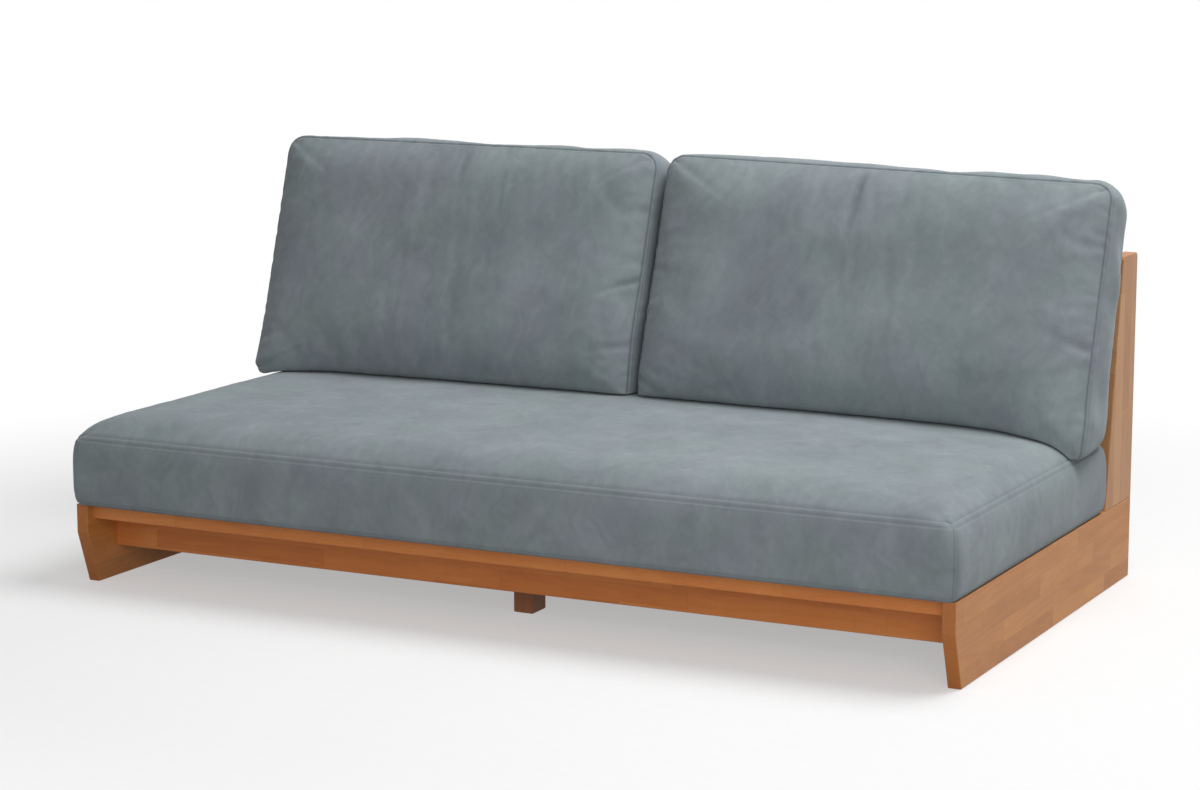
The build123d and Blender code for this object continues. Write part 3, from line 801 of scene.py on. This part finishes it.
def cubic_weights(places, lines):
    """Catmull-Rom weights and line numbers for places on evenly spaced lines."""
    along = (places - lines[0]) / (lines[1] - lines[0])
    first = np.clip(np.floor(along).astype(int), 0, len(lines) - 2)
    t = along - first
    weights = [
        0.5 * (-t + 2 * t ** 2 - t ** 3),
        0.5 * (2 - 5 * t ** 2 + 3 * t ** 3),
        0.5 * (t + 4 * t ** 2 - 3 * t ** 3),
        0.5 * (t ** 3 - t ** 2),
    ]
    numbers = [np.clip(first + offset, 0, len(lines) - 1) for offset in (-1, 0, 1, 2)]
    return weights, numbers


def sampled(field, first_lines, second_lines, first, second):
    """Smoothly interpolates a table of movements."""
    weights_a, numbers_a = cubic_weights(first, first_lines)
    weights_b, numbers_b = cubic_weights(second, second_lines)
    total = np.zeros((len(first), 3))
    for weight_a, number_a in zip(weights_a, numbers_a):
        for weight_b, number_b in zip(weights_b, numbers_b):
            total += (weight_a * weight_b)[:, None] * field[number_a, number_b]
    return total


def carried_movement(coarse, movement, fine):
    """The simulated movement, carried from the even grid onto the finer sewn grid."""
    result = np.zeros((len(fine.u), 3))
    for panel, chosen in ((coarse.upper, fine.is_upper), (coarse.lower, fine.is_lower)):
        table = movement[panel]
        result[chosen] = sampled(table, coarse.us, coarse.vs, fine.u[chosen], fine.v[chosen])
    chosen = fine.is_wall
    places = ring_place(fine.u[chosen], fine.v[chosen])
    order = np.concatenate([coarse.ring_place, [4.0]])
    after = np.clip(np.searchsorted(order, places, side="right"), 1, len(order) - 1)
    before = after - 1
    part = eased((places - order[before]) / (order[after] - order[before]))[:, None]
    table = movement[coarse.wall]
    total = np.zeros((len(places), 3))
    for weight, number in zip(*cubic_weights(fine.s[chosen], coarse.ss)):
        low = table[number, before]
        high = table[number, after % len(coarse.ring_place)]
        total += weight[:, None] * (low + (high - low) * part)
    result[chosen] = total
    return result


def seam_profile(away, sewing, lapped):
    """Height across a seam, on each of its lines: a groove, then a lap that ends in a row of stitches."""
    groove = sewing.groove
    ridge = sewing.lap_ridge if lapped else 0.4 * sewing.lap_ridge
    stitch = sewing.lap_ridge if lapped else 0.0
    heights = np.array([-groove, -0.2 * groove, ridge, ridge, -stitch, 0.1 * ridge, 0.3 * ridge, 0.0])
    return np.interp(away, SEAM_LINES, heights, right=0.0)


def puckers(rng, along, away, half_run, count, depth, reach):
    """Small furrows that run off a seam at seeded places."""
    total = np.zeros_like(along)
    for _ in range(count):
        centre = rng.uniform(-half_run, half_run)
        furrow_width = PUCKER_WIDTH * rng.uniform(0.6, 1.5)
        furrow_reach = reach * rng.uniform(0.4, 1.6)
        furrow_depth = depth * rng.uniform(0.2, 1.0)
        lean = rng.uniform(-0.5, 0.5)
        beside = np.abs(along - centre) < 6 * furrow_width + away
        close = np.nonzero((away < 3 * furrow_reach) & beside)[0]
        offset = (along[close] - centre - lean * away[close]) / furrow_width
        shape = np.exp(-offset ** 2) - 0.55 * np.exp(-(offset / 2.0) ** 2)
        total[close] -= furrow_depth * shape * np.exp(-(away[close] / furrow_reach) ** 2)
    return total


def soft_waves(rng, points, count, shortest, longest):
    """A smooth seeded field of about unit height."""
    total = np.zeros(len(points))
    for _ in range(count):
        direction = rng.normal(size=3)
        direction /= np.linalg.norm(direction)
        wave = 2 * np.pi / rng.uniform(shortest, longest)
        total += np.cos(points @ direction * wave + rng.uniform(0, 2 * np.pi))
    return total / math.sqrt(count / 2)


def crease(along, away, place, reach, width, depth, lean, start):
    """One furrow that runs off a seam, or that starts some way from it."""
    offset = (along - place - lean * away) / width
    shape = np.exp(-offset ** 2) - 0.5 * np.exp(-(offset / 2.2) ** 2)
    fade = np.exp(-(away / reach) ** 2) * (1 - np.exp(-(away / max(start, 1e-6)) ** 2))
    return -depth * shape * fade


def row_tree():
    """Geometry nodes: a row of small rounded bars along every path, for stitches and zip teeth."""
    tree = bpy.data.node_groups.new("bar_row", "GeometryNodeTree")
    kinds = {
        "Path": "Geometry", "Pitch": "Float", "Length": "Float", "Radius": "Float",
        "Turned": "Bool", "Across": "Vector", "Finish": "Material",
    }
    for name, kind in kinds.items():
        tree.interface.new_socket(name, in_out="INPUT", socket_type="NodeSocket" + kind)
    tree.interface.new_socket("Bars", in_out="OUTPUT", socket_type="NodeSocketGeometry")
    work = NodeWork(tree)
    path = work.add("NodeGroupInput", out="Path")
    curve = work.add("GeometryNodeMeshToCurve", {}, {"Mesh": path})
    lengths = {"Curve": curve, "Length": path.other("Pitch")}
    spaced = work.add("GeometryNodeResampleCurve", {"mode": "LENGTH"}, lengths)
    tangent = work.add("GeometryNodeInputTangent", out="Tangent")
    choices = {"Switch": path.other("Turned"), "False": tangent, "True": path.other("Across")}
    direction = work.add("GeometryNodeSwitch", {"input_type": "VECTOR"}, choices, out="Output")
    turn = work.add("FunctionNodeAlignRotationToVector", {"axis": "Z"}, {"Vector": direction}, out="Rotation")
    bar = work.add("GeometryNodeMeshUVSphere", {}, {"Segments": 6, "Rings": 4, "Radius": 1.0}, out="Mesh")
    radius = path.other("Radius")
    size = work.add("ShaderNodeCombineXYZ", {}, {"X": radius, "Y": radius, "Z": path.other("Length") * 0.5})
    bars = {"Points": spaced, "Instance": bar, "Rotation": turn, "Scale": size}
    placed = work.add("GeometryNodeInstanceOnPoints", {}, bars)
    real = work.add("GeometryNodeRealizeInstances", {}, {"Geometry": placed})
    smooth = work.add("GeometryNodeSetShadeSmooth", {}, {"Geometry": real})
    dressed = {"Geometry": smooth, "Material": path.other("Finish")}
    work.add("NodeGroupOutput", {}, {"Bars": work.add("GeometryNodeSetMaterial", {}, dressed)})
    return tree


def grown(name, source, tree, values):
    """Evaluates a node tree on a source object and keeps the result as a plain mesh piece."""
    modifier = source.modifiers.new("nodes", "NODES")
    modifier.node_group = tree
    inputs = [item for item in tree.interface.items_tree if item.in_out == "INPUT"]
    identifiers = {item.name: item.identifier for item in inputs}
    for key, value in values.items():
        modifier[identifiers[key]] = value
    graph = bpy.context.evaluated_depsgraph_get()
    mesh = bpy.data.meshes.new_from_object(source.evaluated_get(graph))
    mesh.name = name
    bpy.data.objects.remove(source)
    piece = bpy.data.objects.new(name, mesh)
    bpy.context.scene.collection.objects.link(piece)
    return piece


def joined_paths(name, rows):
    """One object with several open paths."""
    points, edges = [], []
    for row in rows:
        start = len(points)
        points += [tuple(point) for point in row]
        edges += [(start + i, start + i + 1) for i in range(len(row) - 1)]
    mesh = bpy.data.meshes.new(name)
    mesh.from_pydata(points, edges, [])
    path = bpy.data.objects.new(name, mesh)
    bpy.context.scene.collection.objects.link(path)
    return path


def outward_normals(points, faces):
    corners = points[faces]
    face_normals = np.cross(corners[:, 2] - corners[:, 0], corners[:, 3] - corners[:, 1])
    normals = np.zeros_like(points)
    for corner in range(4):
        np.add.at(normals, faces[:, corner], face_normals)
    return normals / np.maximum(np.linalg.norm(normals, axis=1), 1e-12)[:, None]


def seam_distances(boxed, grid):
    """Distance of each point from its nearest seam, along its own panel or wall."""
    half_height = boxed.plane(grid.s)[2]
    to_side = (1 - np.abs(grid.u)) * boxed.half_width
    to_end = (1 - np.abs(grid.v)) * half_height
    on_panel = np.minimum(to_side, to_end)
    on_wall = np.minimum(grid.s, 1 - grid.s) * boxed.depth
    return np.where(grid.is_wall, on_wall, on_panel)


def edge_runs(boxed, grid):
    """For each of the four edges: coordinate along it, distance from it on the panel, and half its length."""
    half_height = boxed.plane(grid.s)[2]
    x = grid.u * boxed.half_width
    y = grid.v * half_height
    return {
        "foot": (x, half_height + y, boxed.half_width),
        "head": (x, half_height - y, boxed.half_width),
        "low_x": (y, boxed.half_width + x, boxed.half_height),
        "high_x": (y, boxed.half_width - x, boxed.half_height),
    }


class Sewing:
    """How a cushion's cover is sewn: its seeded unevenness, in metres, and where its seams are lapped."""

    def __init__(self, seed, groove, lap_ridge, pucker_depth, panel_wave, wall_wave, lapped):
        self.seed = seed
        self.groove = groove
        self.lap_ridge = lap_ridge
        self.pucker_depth = pucker_depth
        self.panel_wave = panel_wave
        self.wall_wave = wall_wave
        self.lapped = lapped


def sewn_points(boxed, grid, coarse, movement, sewing):
    """The cushion's surface, its normals and faces, and the height of its sewing along those normals."""
    rng = np.random.default_rng(sewing.seed)
    points = sewn_form(boxed, grid, 1.0) + carried_movement(coarse, movement, grid)
    faces = grid.faces()
    normals = outward_normals(points, faces)
    away = seam_distances(boxed, grid)
    plain = seam_profile(away, sewing, False)
    lapped = seam_profile(away, sewing, True)
    height = np.where(lapped_places(grid, sewing), lapped, plain)
    waves = soft_waves(rng, points, WAVE_COUNT, *WAVE_LENGTHS)
    fade = 1 - bell(away, 0.0, WAVE_FADE)
    height += np.where(grid.is_wall, sewing.wall_wave, sewing.panel_wave) * waves * fade
    runs = edge_runs(boxed, grid)
    for edge in ("foot", "head", "low_x", "high_x"):
        along, distance, half_run = runs[edge]
        count = round(half_run * 2 / PUCKER_SPACING)
        depth = sewing.pucker_depth * PUCKER_SHARES[edge]
        on_upper = np.where(grid.is_upper, distance, OFF_PIECE)
        height += puckers(rng, along, on_upper, half_run, count, depth, PANEL_PUCKER_REACH)
        on_wall = np.where(grid.is_wall & (distance < 1e-6), (1 - grid.s) * boxed.depth, OFF_PIECE)
        height += puckers(rng, along, on_wall, half_run, count, depth, WALL_PUCKER_REACH)
    return points, normals, height, faces


def lapped_places(grid, sewing):
    """True on the panels and walls that carry a lap with a row of stitches."""
    upper = grid.is_upper & ("upper" in sewing.lapped)
    high_wall = grid.is_wall & (grid.s > 0.5) & ("high_wall" in sewing.lapped)
    low_wall = grid.is_wall & (grid.s <= 0.5) & ("low_wall" in sewing.lapped)
    return upper | high_wall | low_wall


def painted_seam_shading(away, lapped):
    """Painted shade: 1 in a seam, less along the stitches of a lap, and 0 elsewhere."""
    seam = bell(away, 0.0, PAINTED_SEAM_SHADE_WIDTH)
    stitched = bell(away, SEAM_LINES[TOPSTITCH_LINE], PAINTED_SEAM_SHADE_WIDTH)
    return np.maximum(seam, np.where(lapped, TOPSTITCH_PAINTED_SHADE * stitched, 0.0))


def finish_cushion(name, points, faces, grid, normals, lapped, seam_shade, upright_rows=()):
    """Makes the cushion's piece, and the rows of stitches along its lapped seams."""
    piece = new_piece(name, points, faces, SLOT_FINISHES["cover_fabric"], seam_shade)
    rows = {
        "upper": grid.inner_ring(grid.upper, TOPSTITCH_LINE),
        "high_wall": grid.wall[len(grid.ss) - 1 - TOPSTITCH_LINE],
        "low_wall": grid.wall[TOPSTITCH_LINE],
    }
    raised = points + normals * STITCH_RISE
    loops = [np.append(rows[place], rows[place][0]) for place in lapped]
    paths = joined_paths(name + "_paths", [raised[row] for row in loops + list(upright_rows)])
    values = {"Pitch": STITCH_PITCH, "Length": STITCH_LENGTH, "Radius": STITCH_RADIUS, "Finish": THREAD}
    stitches = grown(name + "_stitches", paths, BAR_ROW, values)
    return piece, stitches


class Zip:
    """Where a cover's zip lies: the middle of its tape, and its directions across the tape and outwards."""

    def __init__(self, node, across):
        low, high = (np.array(corner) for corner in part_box(node))
        self.middle = 0.5 * (low + high)
        self.half_length = 0.5 * (high[0] - low[0])
        self.across = np.array(across)
        self.outward = np.array((0.0, across[2], -across[1]))

    def bedded(self, points, loose):
        """Points of the cover, with the fabric laid flat under the tape."""
        away = points - self.middle
        side = np.abs(away @ self.across)
        height = away @ self.outward
        end = np.abs(away[:, 0]) - self.half_length
        near_side = np.clip((ZIP_VALLEY - side) / (ZIP_VALLEY - ZIP_HALF_WIDTH), 0, 1)
        near_end = np.clip(1 - end / ZIP_VALLEY, 0, 1)
        share = eased(np.where(loose, near_side * near_end, 0.0))
        wanted = -0.5 * ZIP_THICKNESS - ZIP_BED_GAP
        return points + (share * (wanted - height))[:, None] * self.outward

    def teeth(self, name):
        """The row of teeth, sunk into the tape so that the slider runs over them."""
        place = self.middle + (0.5 * ZIP_THICKNESS + TOOTH_RISE - TOOTH_RADIUS) * self.outward
        reach = np.array((self.half_length - TOOTH_MARGIN, 0.0, 0.0))
        path = joined_paths(name + "_path", [[place - reach, place + reach]])
        values = {
            "Pitch": TOOTH_PITCH, "Length": TOOTH_LENGTH, "Radius": TOOTH_RADIUS,
            "Turned": True, "Across": tuple(self.across), "Finish": SLOT_FINISHES["zip_metal"],
        }
        return grown(name, path, BAR_ROW, values)


def corner_distances(boxed, grid):
    """Distance along the wall from the upright seams at its front corners."""
    half_height = boxed.plane(grid.s)[2]
    away = np.hypot((1 - np.abs(grid.u)) * boxed.half_width, (1 + grid.v) * half_height)
    return np.where(grid.is_wall, away, OFF_PIECE)


def seat_cushion():
    """The seat cushion's pieces, and a tree for finding its height."""
    lower = ((SEAT_FRONT_Y, SEAT_BOTTOM_Z), (SEAT_REAR_Y, SEAT_BOTTOM_Z))
    upper = ((SEAT_FRONT_Y, SEAT_SEAM_Z), (SEAT_REAR_Y, SEAT_SEAM_Z))
    crowns = (0.0, SEAT_CROWN)
    boxed = Boxed(
        "seat", 0.0, SEAT_HALF_WIDTH, lower, upper, crowns, SEAT_CROWN_RUN,
        SEAT_BULGE, SEAT_CORNERS, SEAT_CORNER_SHARES,
    )
    coarse, movement = plump(
        boxed, SEAT_CLOTH_SPACING, lambda grid: grid.is_lower | (grid.v > 0.999),
        SEAT_CLOTH_FIRMNESS, SEAT_FOLD_SHARE,
    )
    grid = sewn_grid(boxed, SEAT_MESH_SPACING)
    points, normals, height, faces = sewn_points(boxed, grid, coarse, movement, SEAT_SEWING)
    from_corner = corner_distances(boxed, grid)
    on_side = grid.is_wall & (np.abs(grid.u) >= 1)
    upright = seam_profile(from_corner, SEAT_SEWING, False)
    lapped_upright = seam_profile(from_corner, SEAT_SEWING, True)
    height += np.where(on_side, lapped_upright, upright)
    tucked = np.clip(1 - (points[:, 2] - SEAT_BOTTOM_Z) / SEAT_TUCK_RISE, 0, 1)
    height -= SEAT_TUCK * tucked ** 2
    height = np.where(grid.is_lower, 0.0, height)
    height[grid.wall[0]] = -SEAT_TUCK
    normals[grid.wall[0], 2] = 0.0
    points = points + normals * height[:, None]
    points[:, 2] = np.maximum(points[:, 2], SEAT_BOTTOM_Z)
    behind = np.clip((points[:, 1] - SEAT_DENT_FRONT_Y) / SEAT_DENT_RUN, 0, 1)
    dent = SEAT_DENT * eased(behind) * bell(points[:, 0], SEAT_DENT_X, SEAT_DENT_WIDTH)
    dent *= boxed.crown_share(grid.u, grid.v, boxed.half_height)
    points[:, 2] -= np.where(grid.is_upper, dent, 0.0)
    zip_row = Zip("seat_zip", (0.0, 0.0, 1.0))
    points = zip_row.bedded(points, grid.is_wall & (grid.v >= 1))
    # Painted shade along the seams, the topstitching and the upright seams at the front corners
    shade = painted_seam_shading(seam_distances(boxed, grid), lapped_places(grid, SEAT_SEWING))
    shade = SEAT_PAINTED_SEAM_SHADE * np.maximum(shade, painted_seam_shading(from_corner, on_side))
    right_column = len(grid.us) - 1 + TOPSTITCH_LINE
    left_column = grid.wall.shape[1] - TOPSTITCH_LINE
    stitched = slice(TOPSTITCH_LINE, -TOPSTITCH_LINE)
    upright_rows = [grid.wall[stitched, column] for column in (left_column, right_column)]
    piece, stitches = finish_cushion(
        "seat_cushion", points, faces, grid, normals, SEAT_SEWING.lapped, shade, upright_rows,
    )
    tree = BVHTree.FromPolygons(points.tolist(), faces.tolist())
    return piece, stitches, zip_row.teeth("seat_zip_teeth"), tree


def seat_height(tree, x, y):
    """Height of the seat cushion under each place, or 0 beside it."""
    heights = np.zeros(len(x))
    down = Vector((0, 0, -1))
    for i in range(len(x)):
        hit = tree.ray_cast(Vector((x[i], y[i], 1.0)), down)[0]
        if hit is not None:
            heights[i] = hit.z
    return heights


def back_creases(side, boxed, grid):
    """Height of the creases in a back cushion's front panel, and the shade painted into them."""
    height = np.zeros(len(grid.u))
    shade = np.zeros(len(grid.u))
    runs = edge_runs(boxed, grid)
    for edge, place, reach, width, depth, lean in BACK_CREASES[side]:
        along, away, _ = runs[edge]
        start = CREASE_START if edge == "head" else 0.0
        furrow = crease(along, away, place, reach, width, depth, lean, start)
        furrow = np.where(grid.is_upper, furrow, 0.0)
        height += furrow
        # Painted shade: the deeper the furrow, the darker the nap painted in it
        shade = np.maximum(shade, CREASE_PAINTED_SHADE * np.clip(-furrow / CREASE_PAINTED_SHADE_DEPTH, 0, 1))
    return height, shade


def shape_head(points, grid, side):
    """Raises or slopes the head, and lets its rear edge sag."""
    up = (grid.v + 1) / 2
    points[:, 2] += (BACK_HEAD_RISE[side] + BACK_HEAD_SLOPE[side] * grid.u) * up ** 2
    points[:, 2] -= BACK_HEAD_SAG * (1 - grid.s) * up ** 8


def shape_foot(points, boxed, grid, side, outward, seat_tree):
    """Lifts the foot onto the seat and rolls it under. Gives each point's height above the foot."""
    foot = boxed.ends[0][0] * (1 - grid.s)[:, None] + boxed.ends[1][0] * grid.s[:, None]
    reach_x = np.clip(points[:, 0], *BACK_FOOT_ENDS)
    seat = seat_height(seat_tree, reach_x, np.minimum(foot[:, 0], SEAT_REAR_Y - 0.001))
    lift = np.maximum(seat + BACK_REST_GAP + BACK_FOOT_ROOM - foot[:, 1], 0.0)
    rise = np.clip((points[:, 2] - foot[:, 1] + BACK_BULGE) / BACK_LIFT_FADE, 0, 1)
    points[:, 2] += lift * (1 - rise) ** 2
    above = points[:, 2] - (foot[:, 1] + lift)
    belly = BACK_BELLY * bell(above, BACK_BELLY_RISE, BACK_BELLY_REACH)
    belly += BACK_FOOT_FORWARD * (1 - rise) ** 2
    belly *= grid.s * (1 - np.clip(outward, 0, 1) ** 8)
    under = np.clip(1 - above / BACK_UNDER_RISE, 0, 1.2) ** 2
    outer = eased(np.clip((outward - BACK_OUTER_START) / BACK_OUTER_RUN, 0, 1))
    points[:, 1] += BACK_UNDER * under * grid.s * (1 - outer) - belly
    sag = BACK_SAG[side] * bell(above, BACK_SAG_RISE, BACK_SAG_RISE) * np.abs(grid.u) ** 6 * np.sign(grid.u)
    points[:, 0] += np.where(grid.is_lower, 0.0, sag)
    return above


def press_sides(points, grid, sign, outward):
    """Draws in the rear of the outer side, and presses the inner wall against the other cushion."""
    points[:, 0] -= sign * BACK_REAR_INSET * (1 - grid.s) * np.clip(outward, 0, 1) ** 4
    pressed = bell(grid.s, BACK_MEET_DEPTH, BACK_MEET_REACH) * (1 - grid.v ** 8)
    apart = points[:, 0] - BACK_SPLIT_X
    points[:, 0] -= np.where(grid.is_wall & (outward <= -1), pressed * apart, 0.0)


def settle(points, boxed, grid, side, above, seat_tree):
    """Lets the foot down onto the seat, and keeps it out of the seat."""
    near = np.nonzero(points[:, 2] < BACK_LOW_Z)[0]
    reach_x = SEAT_HALF_WIDTH - BACK_GROUND_INSET
    ground_x = np.clip(points[near, 0], -reach_x, reach_x)
    ground_y = np.minimum(points[near, 1], SEAT_REAR_Y + BACK_GROUND_REAR)
    rest = seat_height(seat_tree, ground_x, ground_y) + BACK_REST_GAP
    share = np.clip(1 - above[near] / BACK_SETTLE_RISE, 0, 1) ** 2
    if side == "left":
        from_outer = (1 + grid.u[near]) * boxed.half_width
        share *= np.clip(from_outer / BACK_FREE_CORNER, 0, 1) ** 2
    points[near, 2] -= share * np.clip(points[near, 2] - rest, 0, BACK_SETTLE_MOST)
    sunk = rest - points[near, 2]
    points[near, 2] += BACK_STOP_SOFTNESS * np.logaddexp(0, sunk / BACK_STOP_SOFTNESS)


def back_cushion(side, seat_tree):
    """A back cushion's pieces, shaped to lie on the seat and against the other back cushion."""
    sign = -1 if side == "left" else 1
    lower = (BACK_REAR_FOOT, BACK_REAR_HEAD)
    upper = (BACK_FRONT_FOOT, BACK_FRONT_HEAD)
    crowns = (BACK_REAR_CROWN, BACK_FRONT_CROWN)
    low_x, high_x = BACK_SIDES[side]
    boxed = Boxed(
        side + "_back", (low_x + high_x) / 2, (high_x - low_x) / 2,
        lower, upper, crowns, BACK_CROWN_RUN,
        BACK_BULGE, BACK_CORNERS, BACK_CORNER_SHARES[side],
    )
    coarse, movement = plump(
        boxed, BACK_CLOTH_SPACING, lambda grid: grid.is_lower, BACK_CLOTH_FIRMNESS, BACK_FOLD_SHARE,
    )
    grid = sewn_grid(boxed, BACK_MESH_SPACING)
    outward = sign * grid.u
    sewing = BACK_SEWING[side]
    points, normals, height, faces = sewn_points(boxed, grid, coarse, movement, sewing)
    furrows, furrow_painted_shade = back_creases(side, boxed, grid)
    height += furrows
    # Painted shade along the seams, the topstitching and in the creases
    shade = painted_seam_shading(seam_distances(boxed, grid), lapped_places(grid, sewing))
    shade = np.maximum(shade, furrow_painted_shade)
    height = np.where(grid.is_lower, np.minimum(height, 0.0), height)
    points = points + normals * height[:, None]
    shape_head(points, grid, side)
    above = shape_foot(points, boxed, grid, side, outward, seat_tree)
    press_sides(points, grid, sign, outward)
    settle(points, boxed, grid, side, above, seat_tree)
    from_split = sign * (points[:, 0] - BACK_SPLIT_X)
    points[:, 0] = BACK_SPLIT_X + sign * np.maximum(from_split, BACK_SPLIT_GAP)
    rear_run = boxed.ends[0][1] - boxed.ends[0][0]
    rear_run /= np.linalg.norm(rear_run)
    zip_row = Zip(side + "_back_zip", (0.0, *rear_run))
    points = zip_row.bedded(points, grid.is_lower)
    name = side + "_back_cushion"
    piece, stitches = finish_cushion(name, points, faces, grid, normals, sewing.lapped, shade)
    return piece, stitches, zip_row.teeth(side + "_back_zip_teeth")


def place_camera():
    data = bpy.data.cameras.new("camera")
    data.lens = CAMERA_LENS_MM
    data.sensor_width = CAMERA_SENSOR_MM
    data.sensor_fit = "HORIZONTAL"
    data.clip_end = CAMERA_FAR
    camera = bpy.data.objects.new("camera", data)
    camera.location = CAMERA_PLACE
    tilt = math.radians(90 - CAMERA_PITCH_DEGREES)
    camera.rotation_euler = (tilt, 0.0, math.radians(CAMERA_TURN_DEGREES))
    bpy.context.scene.collection.objects.link(camera)
    bpy.context.scene.camera = camera


def soft_lamp(name, place, width, power):
    data = bpy.data.lights.new(name, "AREA")
    data.shape = "SQUARE"
    data.size = width
    data.energy = power
    lamp = bpy.data.objects.new(name, data)
    lamp.location = place
    aim = Vector(LAMP_TARGET) - Vector(place)
    lamp.rotation_euler = aim.to_track_quat("-Z", "Y").to_euler()
    bpy.context.scene.collection.objects.link(lamp)


def seen_directly(work):
    """1 for what the camera sees, also in metal or through glass, and 0 for light that falls on the sofa."""
    path = work.add("ShaderNodeLightPath", out="Is Camera Ray")
    return path.highest(path.other("Is Glossy Ray").highest(path.other("Is Transmission Ray")))


def studio():
    """Plain light from a lamp above, a lamp in front and a dim world, which is white where it is seen."""
    scene = bpy.context.scene
    scene.view_settings.view_transform = "Standard"
    world = bpy.data.worlds.new("studio")
    scene.world = world
    world.use_nodes = True
    work = NodeWork(world.node_tree)
    light = work.add("ShaderNodeBackground", {}, {"Color": WHITE, "Strength": WORLD_LIGHT})
    white = work.add("ShaderNodeBackground", {}, {"Color": WHITE, "Strength": 1.0})
    mixed = work.add("ShaderNodeMixShader", {}, {0: seen_directly(work), 1: light, 2: white})
    work.add("ShaderNodeOutputWorld", {}, {"Surface": mixed})
    soft_lamp("key", KEY_PLACE, KEY_WIDTH, KEY_POWER)
    soft_lamp("fill", FILL_PLACE, FILL_WIDTH, FILL_POWER)


def pale_floor():
    """A pale floor that keeps the shadow near the sofa and runs out to plain white."""
    half = FLOOR_HALF_WIDTH
    corners = [(x, y, -FLOOR_DROP) for x, y in ((-half, -half), (half, -half), (half, half), (-half, half))]
    mesh = bpy.data.meshes.new("floor")
    mesh.from_pydata(corners, [], [(0, 1, 2, 3)])
    piece = bpy.data.objects.new("floor", mesh)
    bpy.context.scene.collection.objects.link(piece)
    finish = Finish("pale_floor", {"Specular IOR Level": 0.0, "Roughness": 1.0})
    axes = finish.axes()
    speckle = finish.noise(finish.place(), scale=30.0)
    pale = finish.ramp(speckle, (0.3, 0.7), [(grey, grey, grey) for grey in FLOOR_GREYS])
    seen = seen_directly(finish)
    finish.colour(finish.mix(seen, (*3 * (FLOOR_BOUNCE_GREY,), 1.0), pale))
    away = (axes["X"] * axes["X"] + axes["Y"] * axes["Y"]).root()
    share = (FLOOR_WHITE_SHARE + (1 - FLOOR_WHITE_SHARE) * finish.between(away, *FLOOR_FADE)) * seen
    white = finish.add("ShaderNodeEmission", {}, {"Color": WHITE, "Strength": 1.0})
    mixed = finish.add("ShaderNodeMixShader", {}, {0: share, 1: finish.surface, 2: white})
    finish.feed(finish.output.node.inputs["Surface"], mixed)
    mesh.materials.append(finish.material)


place_camera()
studio()
pale_floor()
dress_nodes()
BAR_ROW = row_tree()
SEAT_SEWING = Sewing(
    seed=11, groove=0.0010, lap_ridge=0.0007, pucker_depth=0.0004,
    panel_wave=0.0004, wall_wave=0.0003, lapped=("upper", "low_wall"),
)
BACK_SEWING = {
    side: Sewing(
        seed=seed, groove=0.0024, lap_ridge=0.0011, pucker_depth=0.0014,
        panel_wave=0.0011, wall_wave=0.0026, lapped=("high_wall", "low_wall"),
    )
    for side, seed in (("left", 23), ("right", 37))
}

seat, seat_stitches, seat_teeth, seat_tree = seat_cushion()
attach(seat, "seat_cushion")
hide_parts("seat_cover", "seat_foam")
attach(seat_stitches, "seat_cushion")
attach(seat_teeth, "seat_cushion")

for side in ("left", "right"):
    cushion, stitches, teeth = back_cushion(side, seat_tree)
    body = side + "_back_cushion"
    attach(cushion, body)
    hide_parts(side + "_back_cover", side + "_back_filling")
    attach(stitches, body)
    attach(teeth, body)
